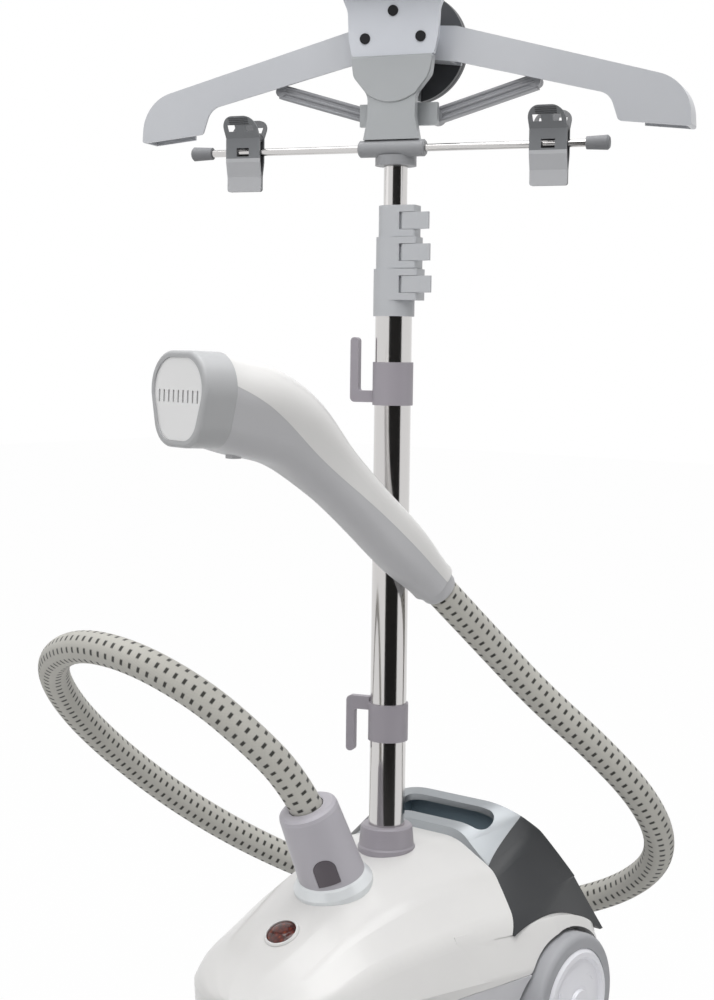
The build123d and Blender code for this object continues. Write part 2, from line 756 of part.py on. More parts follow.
def wheel_axle():
    """Steel rod across the base that both wheels turn on."""
    reach = HUB_BACK + WHEEL_W - 8
    axle = rod_x(AXLE_R, (-reach, reach), WHEEL_Y, WHEEL_R)
    for side in (-1, 1):
        span = sorted((side * (HUB_BACK - 1.6), side * (HUB_BACK - RUN)))
        axle += rod_x(AXLE_R + 4, span, WHEEL_Y, WHEEL_R)
    return axle


# Telescopic pole, turned as one with the hanger

def on_pole(shape):
    return Rot(0, 0, HANGER_TURN) * shape


def tube_radius(step):
    return TUBE_R - step * (TUBE_WALL + TUBE_GAP)


def collar_span(step):
    low = COLLAR_Z + sum(COLLAR_H[:step]) + step * SEAT
    return low, low + COLLAR_H[step]


def tube(step):
    """One section of the pole; the inner ones have a belled foot that glides in the next tube."""
    radius = tube_radius(step)
    high = TOP_TUBE_Z if step == len(COLLAR_H) else collar_span(step)[1] - COLLAR_CAP
    if step == 0:
        return disc(radius, (TUBE_FOOT_Z + SEAT, high)) - disc(radius - TUBE_WALL, (0, FAR * 3))
    low = collar_span(step - 1)[1] - TUBE_TRAVEL - TUBE_OVERLAP
    body = disc(radius, (low, high)) + disc(radius + TUBE_GAP - GLIDE, (low, low + 14))
    return body - disc(radius - TUBE_WALL, (0, FAR * 3))


def lever_place(step):
    """Pivot of a clamp lever, and the front of its collar."""
    front = -(tube_radius(step) + COLLAR_WALL)
    pivot_y = front + CAM_R + 0.4
    reach = tube_radius(step) + CAM_R + 0.6
    return math.sqrt(reach**2 - pivot_y**2), pivot_y, front


def boss_middle(step):
    return collar_span(step)[1] - BOSS_H / 2


def clamp_collar(step):
    """Split collar with the boss that carries its clamp lever."""
    low, high = collar_span(step)
    radius = tube_radius(step)
    pivot_x, pivot_y, front = lever_place(step)
    middle = boss_middle(step)
    body = disc(radius + COLLAR_WALL, (low, high))
    boss = block((0, radius + BOSS_REACH), (front, radius * 0.4), (high - BOSS_H, high))
    boss = fillet(boss.edges().filter_by(Axis.Z).group_by(Axis.X)[-1], 2.0)
    body += boss
    half = LEVER_H / 2 + RUN
    span = (middle - half, middle + half)
    pocket = block((pivot_x, FAR), (front - 1, pivot_y + CAM_R + RUN), span)
    pocket += block((pivot_x - CAM_R - LEVER_SWING, pivot_x + 1), (front - 1, pivot_y), span)
    body -= pocket + disc(CAM_R + RUN, span, pivot_x, pivot_y)
    body -= disc(LEVER_PIN_R + SHAFT_FIT, (middle - half - 3, middle + half + 3), pivot_x, pivot_y)
    body -= disc(radius + SEAT, (low, high - COLLAR_CAP))
    return on_pole(body - disc(tube_radius(step + 1) + RUN, (low, high)))


def clamp_lever(step):
    """Flip lever with its cam and trunnion pins."""
    pivot_x, pivot_y, front = lever_place(step)
    middle = boss_middle(step)
    span = (middle - LEVER_H / 2, middle + LEVER_H / 2)
    end = tube_radius(step) + LEVER_REACH
    thumb = end - 9
    outline = [
        (pivot_x, pivot_y + CAM_R), (pivot_x, pivot_y - CAM_R), (thumb, front - 0.4), (end, front - 2.6),
        (end, front + 0.6), (thumb, pivot_y + CAM_R - 1.5),
    ]
    arm = extrude(make_face(Polyline(*[(x, y, span[0]) for x, y in outline], close=True)), LEVER_H)
    pin = disc(LEVER_PIN_R, (span[0] - 3, span[1] + 3), pivot_x, pivot_y)
    return on_pole(arm + disc(CAM_R, span, pivot_x, pivot_y) + pin)


def cord_hook(band, arm_z, prong_end):
    """Band round the lower tube with an L-shaped prong for winding the cord."""
    ring = disc(TUBE_R + SEAT + HOOK_BAND_T, band)
    inner = TUBE_R + HOOK_BAND_T / 2
    low, high = arm_z
    end = prong_end
    outline = [(-inner, low), (-inner, high), (-HOOK_REACH + HOOK_PRONG, high if end < low else low)]
    if end > high:
        outline = [
            (-inner, low), (-HOOK_REACH, low), (-HOOK_REACH, end), (-HOOK_REACH + HOOK_PRONG, end),
            (-HOOK_REACH + HOOK_PRONG, high), (-inner, high),
        ]
    else:
        outline = [
            (-inner, high), (-HOOK_REACH, high), (-HOOK_REACH, end), (-HOOK_REACH + HOOK_PRONG, end),
            (-HOOK_REACH + HOOK_PRONG, low), (-inner, low),
        ]
    prong = prism_y(outline, (-HOOK_T / 2, HOOK_T / 2), [0, 4.0, 3.2, 3.2, 2.0, 0])
    return on_pole(ring + prong - disc(TUBE_R + SEAT, (0, FAR * 3)))


def upper_hook():
    low = UPPER_HOOK_Z[0] + 2
    return cord_hook(UPPER_HOOK_Z, (low, low + 9.5), UPPER_PRONG_Z)


def lower_hook():
    high = LOWER_HOOK_Z[1] + 4
    return cord_hook(LOWER_HOOK_Z, (high - 11, high), LOWER_PRONG_Z)


# Hanger head

PLATE_BACK = PLATE_Y + PLATE_T
HOUSING_Y = (ARM_Y[1] + RUN + 1.0, ARM_Y[1] + RUN + 1.0 + HOUSING_T)
TOP_SCREW_Z = PIVOT_Z + 21.0
SCREW_PLACES = [(-PIVOT_X, PIVOT_Z), (PIVOT_X, PIVOT_Z), (0.0, TOP_SCREW_Z)]
CORE_HALF = PIVOT_X - ARM_ROOT_R - 2.0


def symmetric(right):
    """Full outline from its right half, in order."""
    return right + [(-x, z) for x, z in reversed(right)]


def hanger_front_plate():
    """Front plate with two horns that cradle the handset, and spacers behind its screws."""
    right = [
        (PLATE_HALF - 3, PLATE_LOW_Z), (PLATE_HALF, PIVOT_Z), (PLATE_HALF + 1, PIVOT_Z + 22),
        (HORN_HALF, HORN_Z - 8), (HORN_HALF - 5, HORN_Z), (24.0, CRADLE_Z),
    ]
    radii = [3.0, 12.0, 14.0, 3.0, 3.0, 16.0]
    plate = prism_y(symmetric(right), (PLATE_Y, PLATE_BACK), radii + radii[::-1])
    shelf = prism_y(symmetric(right), (PLATE_Y - CRADLE_DEPTH, PLATE_Y), radii + radii[::-1])
    shelf &= prism_x([
        (PLATE_Y, CRADLE_Z - 7), (PLATE_Y, FAR * 3), (PLATE_Y - CRADLE_DEPTH, FAR * 3),
        (PLATE_Y - CRADLE_DEPTH, CRADLE_Z - 4),
    ], (-FAR, FAR))
    plate += shelf
    for x, z in SCREW_PLACES[:2]:
        plate += rod_y(7.0, (PLATE_BACK, ARM_Y[0] - RUN), x, z)
    for x, z in SCREW_PLACES:
        plate -= rod_y(SCREW_R + SEAT, (PLATE_Y - 1, ARM_Y[1]), x, z)
        plate -= rod_y(SCREW_HEAD_R + SEAT, (PLATE_Y - 1, PLATE_Y + 2), x, z)
    return on_pole(plate)


def head_screws():
    """Three long screws through the head; the lower two are the pivots of the arms."""
    screws = []
    for x, z in SCREW_PLACES:
        screw = rod_y(SCREW_HEAD_R, (PLATE_Y - 1.2, PLATE_Y + 2 - SEAT), x, z)
        screw += rod_y(SCREW_R, (PLATE_Y, HOUSING_Y[0] + 9), x, z)
        screws.append(on_pole(screw))
    return Compound(children=screws)


def hanger_neck():
    """Shield-shaped tongue with the neck, the core of the head and the strut pins."""
    foot = BAR_Z + BAR_CLAMP_R + SEAT
    right = [
        (PLATE_HALF - 3, PLATE_LOW_Z - SEAT), (PLATE_HALF - 5, PLATE_LOW_Z - 16),
        (NECK_HALF, PLATE_LOW_Z - 31), (NECK_HALF, BAR_Z + 24), (NECK_HALF + 3.5, foot),
    ]
    radii = [2.0, 10.0, 12.0, 20.0, 0.0]
    neck = prism_y(symmetric(right), (PLATE_Y - 2, PLATE_BACK), radii + radii[::-1])
    shoulder_z = STRUT_PIVOT[1] + 18
    neck += block((-11, 11), (PLATE_BACK, 9), (foot, shoulder_z))
    core_y = (PLATE_BACK + SEAT, HOUSING_Y[0] - SEAT)
    neck += block((-CORE_HALF, CORE_HALF), core_y, (shoulder_z - 4, TOP_SCREW_Z + 7))
    pivot_x, pivot_z = STRUT_PIVOT
    neck += block((-pivot_x - 7, pivot_x + 7), (4, 9), (pivot_z - 9, pivot_z + 9))
    for side in (-1, 1):
        neck += rod_y(STRUT_PIN_R, (8, ARM_Y[1]), side * pivot_x, pivot_z)
        neck += rod_y(STRUT_PIN_R + 2, (ARM_Y[1] - 3, ARM_Y[1]), side * pivot_x, pivot_z)
    inner = tube_radius(len(COLLAR_H)) - TUBE_WALL - SEAT
    back_y = BAR_Y + BAR_CLAMP_R + SEAT
    plug = disc(inner, (TOP_TUBE_Z - 50, BAR_Z + BAR_CLAMP_R + 1))
    neck += plug - block((-FAR, FAR), (-FAR, back_y), (TOP_TUBE_Z, FAR * 3))
    neck -= rod_y(SCREW_R + SEAT, (PLATE_Y, HOUSING_Y[1]), 0, TOP_SCREW_Z)
    return on_pole(neck)


def hanger_rear_housing():
    """Round rear cover of the head."""
    cover = rod_y(HOUSING_R, HOUSING_Y, 0, PIVOT_Z)
    cover = fillet(cover.faces().sort_by(Axis.Y)[-1].edges(), 5.0)
    seam_y = HOUSING_Y[0] + 5.0
    groove = rod_y(HOUSING_R + 1, (seam_y, seam_y + 1.0), 0, PIVOT_Z)
    cover -= groove - rod_y(HOUSING_R - 0.8, (seam_y - 1, seam_y + 2), 0, PIVOT_Z)
    for x, z in SCREW_PLACES:
        cover -= rod_y(SCREW_R + SEAT, (HOUSING_Y[0] - 1, HOUSING_Y[0] + 10), x, z)
    return on_pole(cover)


def arm_outline(inset):
    """Right half outline of a hanger arm: straight shoulder line, then the drooping tip."""
    tip = ARM_TIP_X - inset
    root = ARM_ROOT_R - inset
    return [
        (PIVOT_X - root, PIVOT_Z + root), (PIVOT_X + 22, PIVOT_Z + 11 - inset),
        (tip - 2, PIVOT_Z - 39 - inset), (tip, PIVOT_Z - ARM_DROP), (tip - 57, PIVOT_Z - ARM_DROP + 6),
        (tip - 64, PIVOT_Z - 47), (PIVOT_X + 22, PIVOT_Z - 17), (PIVOT_X - root, PIVOT_Z - root),
    ]


def hanger_arm():
    """Right arm: a hollow channel, open below, with a solid root round its pivot."""
    radii = [ARM_ROOT_R - 0.5, 6.0, ARM_TIP_ROUND, 2.0, 4.0, 15.0, 6.0, ARM_ROOT_R - 0.5]
    arm = prism_y(arm_outline(0.0), ARM_Y, radii)
    hollow = arm_outline(ARM_WALL)
    hollow[0] = (STRUT_PIVOT[0] + 14, PIVOT_Z + 11 - ARM_WALL)
    hollow[-1] = (STRUT_PIVOT[0] + 14, PIVOT_Z - 60)
    hollow[3:7] = [(ARM_TIP_X - ARM_WALL, PIVOT_Z - 120), (PIVOT_X + 60, PIVOT_Z - 120)]
    hollow_radii = [0, 0, ARM_TIP_ROUND - ARM_WALL, 0, 0, 0]
    cavity = prism_y(hollow, (ARM_Y[0] + ARM_WALL, ARM_Y[1] - ARM_WALL), hollow_radii)
    short = prism_y([
        (PIVOT_X + 20, PIVOT_Z - 8), (ARM_TIP_X - 40, PIVOT_Z - 46),
        (ARM_TIP_X - 40, PIVOT_Z - 120), (PIVOT_X + 20, PIVOT_Z - 120),
    ], (ARM_Y[1] - ARM_WALL - 1, ARM_Y[1] + 1))
    arm -= cavity + short
    return arm - rod_y(SCREW_R + SHAFT_FIT, (0, FAR), PIVOT_X, PIVOT_Z)


def hanger_strut():
    """Right strut: a ridged bar from its pivot at the neck to a slider inside the arm."""
    (x0, z0), (x1, z1) = STRUT_PIVOT, STRUT_END
    angle = math.degrees(math.atan2(z1 - z0, x1 - x0))
    length = math.hypot(x1 - x0, z1 - z0)
    middle = (ARM_Y[0] + ARM_Y[1]) / 2
    half = STRUT_DEPTH / 2
    bar = block((0, length), (-half + 2, half - 2), (-STRUT_W / 2, STRUT_W / 2))
    for level in (-STRUT_W / 2 + 1.4, 0, STRUT_W / 2 - 1.4):
        bar += rod_x(1.4, (4, length), -half + 2, level) + rod_x(1.4, (4, length), half - 2, level)
    bar += rod_y(4.5, (-half + 1, half - 1), length, 0)
    bar += rod_y(STRUT_W / 2 + 1.0, (-half, half), 0, 0)
    bar -= rod_y(STRUT_PIN_R + SHAFT_FIT, (-FAR, FAR), 0, 0)
    return Pos(x0, middle, z0) * Rot(0, -angle, 0) * bar


def bar_clamp():
    """Dark tube that grips the trouser bar under the neck."""
    body = rod_x(BAR_CLAMP_R, (-BAR_CLAMP_HALF, BAR_CLAMP_HALF), BAR_Y, BAR_Z)
    body = chamfer(body.edges().filter_by(GeomType.CIRCLE), 1.2)
    last = tube_radius(len(COLLAR_H)) + SEAT
    body += disc(last + 7, (TOP_TUBE_Z - 4, BAR_Z - BAR_CLAMP_R + 1.5)) - disc(last, (0, FAR * 3))
    return on_pole(body - rod_x(BAR_R + SEAT, (-FAR, FAR), BAR_Y, BAR_Z))


def trouser_bar():
    return on_pole(rod_x(BAR_R, (-BAR_HALF + 4, BAR_HALF - 4), BAR_Y, BAR_Z))


def bar_caps():
    """Two rubber end caps of the trouser bar."""
    cap = turned([
        (0, 0), (BAR_CAP_R - 1.5, 0), (BAR_CAP_R, 1.5), (BAR_CAP_R - 0.8, BAR_CAP_L),
        (BAR_R + SEAT, BAR_CAP_L),
        (BAR_R + SEAT, 4 - SEAT), (0, 4 - SEAT),
    ])
    left = on_pole(Pos(-BAR_HALF, BAR_Y, BAR_Z) * Rot(0, 90, 0) * cap)
    right = on_pole(Pos(BAR_HALF, BAR_Y, BAR_Z) * Rot(0, -90, 0) * cap)
    return Compound(children=[left, right])


# Trouser clips, modelled about the bar at the middle of the clip

def jaw_profile(side):
    """Bent strip of one jaw in (y, z): pad, bow round the bar, pivot and finger tab."""
    gap = BAR_R + RUN
    line = [
        (RUN / 2, -CLIP_DOWN), (RUN / 2, -CLIP_DOWN + 12), (gap, -BAR_R - 4), (gap, CLIP_PIN_UP),
        (CLIP_SPREAD, CLIP_UP),
    ]
    outer = [(y + CLIP_T, z) for y, z in line]
    outer[2] = (gap + CLIP_T, -BAR_R - 5)
    return [(side * y, z) for y, z in line + outer[::-1]]


LUG_R = BAR_R
LUG_OUT = CLIP_W / 2 - 1.0
LUG_T = 1.6


def jaw(side, lug_from):
    """One jaw with its finger tab windows and two lugs round the pivot."""
    half = CLIP_W / 2
    plate = prism_x(jaw_profile(side), (-half, half))
    corners = [(-half, -CLIP_DOWN), (half, -CLIP_DOWN), (half, CLIP_UP), (-half, CLIP_UP)]
    plate &= prism_y(corners, (-FAR, FAR), [2.0, 2.0, CLIP_ROUND, CLIP_ROUND])
    for x in (-8.0, 8.0):
        plate -= block((x - 3.5, x + 3.5), (-FAR, FAR), (CLIP_PIN_UP + 5, CLIP_PIN_UP + 10))
    for end in (-1, 1):
        span = sorted((end * lug_from, end * (lug_from - LUG_T)))
        lug = rod_x(LUG_R, span, 0, CLIP_PIN_UP)
        reach = sorted((0, side * (BAR_R + RUN + CLIP_T / 2)))
        lug += block(span, reach, (CLIP_PIN_UP - LUG_R + 0.5, CLIP_PIN_UP + LUG_R - 0.5))
        plate += lug
    return plate


def clip_front_jaw():
    front = jaw(-1, LUG_OUT - LUG_T - RUN)
    front -= block((-5.5, 5.5), (-FAR, 0), (-BAR_R - 0.5, BAR_R + 0.5))
    return front - rod_x(CLIP_PIN_R + SHAFT_FIT, (-FAR, FAR), 0, CLIP_PIN_UP)


def clip_rear_jaw():
    """Rear jaw with the pivot pin riveted into its lugs."""
    pin = rod_x(CLIP_PIN_R, (-LUG_OUT - 0.8, LUG_OUT + 0.8), 0, CLIP_PIN_UP)
    return jaw(1, LUG_OUT) + pin


def biarc(start, start_dir, end, end_dir):
    """Two arcs that join two points with given directions."""
    chord, both = end - start, start_dir + end_dir
    spread = 2 * (1 - start_dir.dot(end_dir))
    reach = chord.dot(both)
    size = (math.sqrt(reach**2 + spread * chord.dot(chord)) - reach) / spread
    first, last = start + start_dir * size, end - end_dir * size
    joint = (first + last) / 2
    return [
        Edge.make_tangent_arc(start, start_dir, joint),
        Edge.make_tangent_arc(joint, (last - first).normalized(), end),
    ]


def clip_spring():
    """Torsion spring wound round the clip's pivot pin."""
    radius = CLIP_PIN_R + RUN + SPRING_WIRE
    pitch = SPRING_WIRE * 2 + 0.6
    steps = SPRING_TURNS * 4

    def point(step):
        angle = step * math.pi / 2
        along = pitch * (step / 4 - SPRING_TURNS / 2)
        return Vector(along, radius * math.cos(angle), CLIP_PIN_UP + radius * math.sin(angle))

    def direction(step):
        angle = step * math.pi / 2
        rise = pitch / (2 * math.pi)
        return Vector(rise, -radius * math.sin(angle), radius * math.cos(angle)).normalized()

    edges = []
    for step in range(steps):
        edges += biarc(point(step), direction(step), point(step + 1), direction(step + 1))
    path = Wire(edges)
    print("clip spring gap between turns", round(pitch - 2 * SPRING_WIRE, 2))
    return sweep(Plane(origin=point(0), z_dir=direction(0)) * Circle(SPRING_WIRE), path=path)


def at_clip(shape, side):
    return on_pole(Pos(side * CLIP_X, BAR_Y, BAR_Z) * shape)


# Handset, modelled with its tail at the origin, its length along +Y and its top towards +Z

HANDSET_AXIS = Vector(0, math.cos(math.radians(HANDSET_TILT)), math.sin(math.radians(HANDSET_TILT)))
HANDSET_AT = Pos(*HANDSET_TAIL) * Rot(0, 0, HANDSET_HEADING)


def in_handset(shape):
    return HANDSET_AT * shape


def handset_line():
    """Middle line: straight grip, bend, then the straight head."""
    start = HANDSET_AXIS * FERRULE_L
    bend = start + HANDSET_AXIS * HANDLE_RUN
    a0, a1 = math.radians(HANDSET_TILT), math.radians(HEAD_TILT)
    centre = bend + Vector(0, math.sin(a0), -math.cos(a0)) * HANDLE_BEND_R
    turn_end = centre + Vector(0, -math.sin(a1), math.cos(a1)) * HANDLE_BEND_R
    head = turn_end + Vector(0, math.cos(a1), math.sin(a1)) * HEAD_RUN
    return start, bend, turn_end, head


def handset_path():
    start, bend, turn_end, head = handset_line()
    arc = Edge.make_tangent_arc(bend, HANDSET_AXIS, turn_end)
    return Wire([Edge.make_line(start, bend), arc, Edge.make_line(turn_end, head)])


def handset_plane(origin, tilt):
    """Plane square to the handset's middle line, its local Y towards the top."""
    angle = math.radians(tilt)
    return Plane(origin=origin, x_dir=(1, 0, 0), z_dir=(0, -math.cos(angle), -math.sin(angle)))


SEAM_RISE = ((0.0, 3.0), (0.32, 1.0), (0.52, -5.0), (0.66, -10.0), (0.78, -6.0), (0.9, 5.0), (1.0, 11.0))
HANDSET_STATIONS = (0.0, 0.07, 0.16, 0.27, 0.38, 0.49, 0.6, 0.7, 0.8, 0.9, 1.0)


def ease(share):
    """Smooth step from 0 to 1."""
    share = min(1.0, max(0.0, share))
    return share * share * (3 - 2 * share)


def handset_section(origin, tilt, top_w, low_w, height, inset):
    """Rounded four-sided section, wider at the top towards the head."""
    top, low, half = top_w / 2 - inset, low_w / 2 - inset, height / 2 - inset
    corners = [(top, half), (-top, half), (-low, -half), (low, -half)]
    high_r, low_r = 0.78 * min(top, half), 0.84 * min(low, half)
    face = make_face(FilletPolyline(*corners, radius=[high_r, high_r, low_r, low_r], close=True))
    return handset_plane(origin, tilt) * face


def handset_form(inset=0.0):
    """Outer form of the handset, or an inner skin of it."""
    path = handset_path()
    sections = []
    for share in HANDSET_STATIONS:
        swell = ease((share - 0.46) / 0.5)
        flare = ease(share / 0.2)
        top = TAIL_W + (GRIP_W - TAIL_W) * flare + (HEAD_W - GRIP_W) * swell
        low = TAIL_W + (GRIP_W - TAIL_W) * flare + (HEAD_LOW_W - GRIP_W) * swell
        height = TAIL_H + (GRIP_H - TAIL_H) * flare + (HEAD_H - GRIP_H) * ease((share - 0.4) / 0.5)
        slope = path % share
        tilt = math.degrees(math.atan2(slope.Z, slope.Y))
        if share == HANDSET_STATIONS[-1]:
            tilt = FACE_TILT
        sections.append(handset_section(path @ share, tilt, top, low, height, inset))
    return loft(sections)


def above_handset_line(lift):
    """Space above the joint between the two handset shells."""
    path = handset_path()
    line = [path @ share + Vector(0, 0, rise + lift) for share, rise in SEAM_RISE]
    back = line[0] - HANDSET_AXIS * 60
    front = line[-1] + Vector(0, 60, 20)
    high = Vector(0, 0, FAR)
    seam = [Edge.make_spline([back] + line + [front])]
    sides = [Edge.make_line(front, front + high), Edge.make_line(front + high, back + high)]
    face = Pos(-FAR, 0, 0) * make_face(seam + sides + [Edge.make_line(back + high, back)])
    return extrude(face, 2 * FAR, dir=(1, 0, 0))


def face_frame():
    """Frame on the front of the handset shells, local Z forwards and local Y up."""
    head = handset_line()[3]
    return handset_plane(head, FACE_TILT)


def face_shape(inset, depth):
    """Rounded outline of the steam face, pushed forwards between two depths."""
    top, low, half = HEAD_W / 2 - inset, HEAD_LOW_W / 2 - inset, HEAD_H / 2 - inset
    corners = [(top, half), (-top, half), (-low, -half), (low, -half)]
    high_r, low_r = 0.78 * min(top, half), 0.84 * min(low, half)
    face = make_face(FilletPolyline(*corners, radius=[high_r, high_r, low_r, low_r], close=True))
    return face_frame() * Pos(0, 0, -depth[0]) * extrude(face, -(depth[1] - depth[0]))


HANDSET_OUTER = handset_form()
HANDSET_INNER = handset_form(HANDSET_WALL)
LATCH_Y = -22.0


def latch_space(grow):
    """Slot under the head for the latch, and the latch itself."""
    half, length = LATCH_W / 2 + grow, LATCH_L / 2 + grow
    middle = LATCH_Y * math.tan(math.radians(HEAD_TILT))
    under = middle - HEAD_H / 2
    body = block((-half, half), (LATCH_Y - length, LATCH_Y + length), (under - LATCH_PROUD, under + 12))
    return Pos(*handset_line()[3]) * body


def handset_upper_shell():
    shell = HANDSET_OUTER - HANDSET_INNER
    return in_handset(shell & above_handset_line(SEAT / 2))


def handset_lower_shell():
    shell = HANDSET_OUTER - HANDSET_INNER
    return in_handset(shell - above_handset_line(-SEAT / 2) - latch_space(RUN))


def handset_latch():
    """Sliding catch under the head that frees the steam head."""
    return in_handset(latch_space(0.0))


def handset_bezel():
    """Pale rim that closes the head round the steam plate."""
    rim = face_shape(0.0, (SEAT, BEZEL_T))
    rim = fillet(rim.faces().sort_by(Axis.Y)[-1].edges(), 3.0)
    return in_handset(rim - face_shape(BEZEL_RIM, (-1, BEZEL_T + 1)))


def steam_plate():
    """Metal plate in the rim with a row of steam slots."""
    plate = face_shape(BEZEL_RIM + SEAT, (BEZEL_T - PLATE_THICK - 1, BEZEL_T - 1))
    first = -(SLOT_COUNT - 1) / 2
    for index in range(SLOT_COUNT):
        x = (first + index) * SLOT_PITCH
        slot = face_frame() * Pos(x, 2, -BEZEL_T) * Box(SLOT_W, SLOT_H, 4 * PLATE_THICK)
        plate -= slot
    return in_handset(plate)


def handset_pipe():
    """Steam tube inside the handset, from the ferrule to behind the plate."""
    start, bend, turn_end, head = handset_line()
    arc = Edge.make_tangent_arc(bend, HANDSET_AXIS, turn_end)
    tilt = math.radians(HEAD_TILT)
    end = head + Vector(0, math.cos(tilt), math.sin(tilt)) * (BEZEL_T - PLATE_THICK - 3)
    path = Wire([Edge.make_line(start + HANDSET_AXIS * SEAT, bend), arc, Edge.make_line(turn_end, end)])
    plane = Plane(origin=start + HANDSET_AXIS * SEAT, z_dir=HANDSET_AXIS)
    outer = sweep(plane * Circle(STEAM_BORE + HANDSET_PIPE_T), path=path)
    return in_handset(outer - sweep(plane * Circle(STEAM_BORE), path=path))


def hose_ferrule():
    """Dark sleeve at the tail of the handset that holds the end of the hose."""
    high = FERRULE_L - SEAT
    profile = [
        (STEAM_BORE, 0), (HOSE_R + 1, 0), (FERRULE_R - 1, 2), (FERRULE_R, high), (STEAM_BORE, high),
    ]
    return in_handset(Plane(origin=(0, 0, 0), z_dir=HANDSET_AXIS).location * turned(profile))


# Steam hose

def hose_points():
    """Control points of the hose, with straight first and last runs out of its fittings."""
    outlet = HOSE_AT * Pos(0, 0, SEAT)
    second = HOSE_AT * Pos(0, 0, SEAT + HOSE_FIRST_RUN)
    heading = math.radians(HANDSET_HEADING)
    flat = HANDSET_AXIS.Y
    axis = Vector(-math.sin(heading) * flat, math.cos(heading) * flat, HANDSET_AXIS.Z)
    tail = Vector(*HANDSET_TAIL) - axis * SEAT
    points = [outlet.position, second.position]
    points += [Vector(*point) for point in HOSE_ROUTE]
    return points + [tail - axis * HOSE_LAST_RUN, tail]


def hose_radii(points):
    """Largest bend radius that the runs beside each corner leave room for."""
    radii = []
    for before, corner, after in zip(points, points[1:], points[2:]):
        run_in, run_out = corner - before, after - corner
        turn = math.radians(run_in.get_angle(run_out))
        radii.append(0.45 * min(run_in.length, run_out.length) / math.tan(turn / 2))
    return radii


def steam_hose():
    """Plain tube along the route of the woven hose."""
    points = hose_points()
    radii = hose_radii(points)
    path = FilletPolyline(*points, radius=radii)
    start = Plane(origin=path @ 0, z_dir=path % 0)
    section = Circle(HOSE_R) - Circle(HOSE_BORE)
    hose = sweep(start * section, path=path)
    print("hose radii", [round(radius) for radius in radii], "length", round(path.length))
    print("hose volume over section times length", round(hose.volume / (section.area * path.length), 4))
    return hose


def build():
    """Make every sub-part and write it."""
    os.makedirs("parts", exist_ok=True)
    single = [
        upper_cover, lower_shell, front_feet, pole_socket, hose_socket_ring, hose_connector,
        connector_release, power_bezel, power_button, switch_body, cord_gland, boiler, heating_element,
        boiler_tubes, valve_seat, water_tank, tank_handle, tank_valve, wheel_axle, upper_hook, lower_hook,
        hanger_front_plate, head_screws, hanger_neck, hanger_rear_housing, bar_clamp, trouser_bar, bar_caps,
        handset_upper_shell, handset_lower_shell, handset_latch, handset_bezel, steam_plate, handset_pipe,
        hose_ferrule, steam_hose,
    ]
    for make in single:
        save(make(), make.__name__)
    for piece, make in (("tyre", tyre), ("hub", hub)):
        right = make()
        save(right, f"right_{piece}")
        save(mirrored(right), f"left_{piece}")
    for piece, make in (("hanger_arm", hanger_arm), ("hanger_strut", hanger_strut)):
        right = make()
        save(on_pole(right), f"right_{piece}")
        save(on_pole(mirrored(right)), f"left_{piece}")
    clip_pieces = (("front_jaw", clip_front_jaw), ("rear_jaw", clip_rear_jaw), ("spring", clip_spring))
    for piece, make in clip_pieces:
        shape = make()
        save(at_clip(shape, 1), f"right_clip_{piece}")
        save(at_clip(shape, -1), f"left_clip_{piece}")
    for step, name in enumerate(("lower_tube", "second_tube", "third_tube", "top_tube")):
        save(on_pole(tube(step)), name)
    for step, place in enumerate(("lower", "middle", "upper")):
        save(clamp_collar(step), f"{place}_collar")
        save(clamp_lever(step), f"{place}_lever")


build()
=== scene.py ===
"""Looks of an upright garment steamer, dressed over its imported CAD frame.

The frame gives every rigid piece its place. This script adds the finishes, the woven hose,
small moulded detail, the hood's sides, the studio and the camera. Lengths are metres where
nothing else is said, +Z is up.
"""
import logging
import math
from dataclasses import dataclass
from enum import Enum

import bpy
from mathutils import Matrix, Vector


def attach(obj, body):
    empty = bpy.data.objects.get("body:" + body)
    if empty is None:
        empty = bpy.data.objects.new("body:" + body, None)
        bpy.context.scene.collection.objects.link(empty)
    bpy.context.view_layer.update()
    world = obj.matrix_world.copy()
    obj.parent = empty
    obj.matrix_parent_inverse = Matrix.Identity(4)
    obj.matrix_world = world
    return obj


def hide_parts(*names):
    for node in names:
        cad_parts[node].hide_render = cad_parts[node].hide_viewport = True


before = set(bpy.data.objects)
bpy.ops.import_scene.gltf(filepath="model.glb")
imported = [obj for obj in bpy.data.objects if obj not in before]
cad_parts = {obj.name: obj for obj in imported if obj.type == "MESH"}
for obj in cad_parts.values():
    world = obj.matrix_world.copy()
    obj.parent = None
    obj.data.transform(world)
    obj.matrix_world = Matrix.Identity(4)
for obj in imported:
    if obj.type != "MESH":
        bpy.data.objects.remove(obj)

MM = 0.001
FAR_RIGHT = 0.3
INWARDS = Vector((-1.0, 0.0, 0.0))
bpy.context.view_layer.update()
logging.basicConfig(level=logging.INFO, format="%(message)s")
log = logging.getLogger("steamer")


class Ray(Enum):
    """Kinds of ray that see the white surroundings."""

    CAMERA = "Is Camera Ray"
    GLOSSY = "Is Glossy Ray"
    TRANSMISSION = "Is Transmission Ray"


def linear(colour: str) -> tuple[float, float, float, float]:
    """Turn an sRGB hex colour into Blender's linear RGBA.

    Args:
        colour: Colour as #RRGGBB.

    Returns:
        Linear red, green, blue and an alpha of 1.
    """
    parts = [int(colour[i:i + 2], 16) / 255 for i in (1, 3, 5)]
    red, green, blue = [p / 12.92 if p <= 0.04045 else ((p + 0.055) / 1.055) ** 2.4 for p in parts]
    return red, green, blue, 1.0


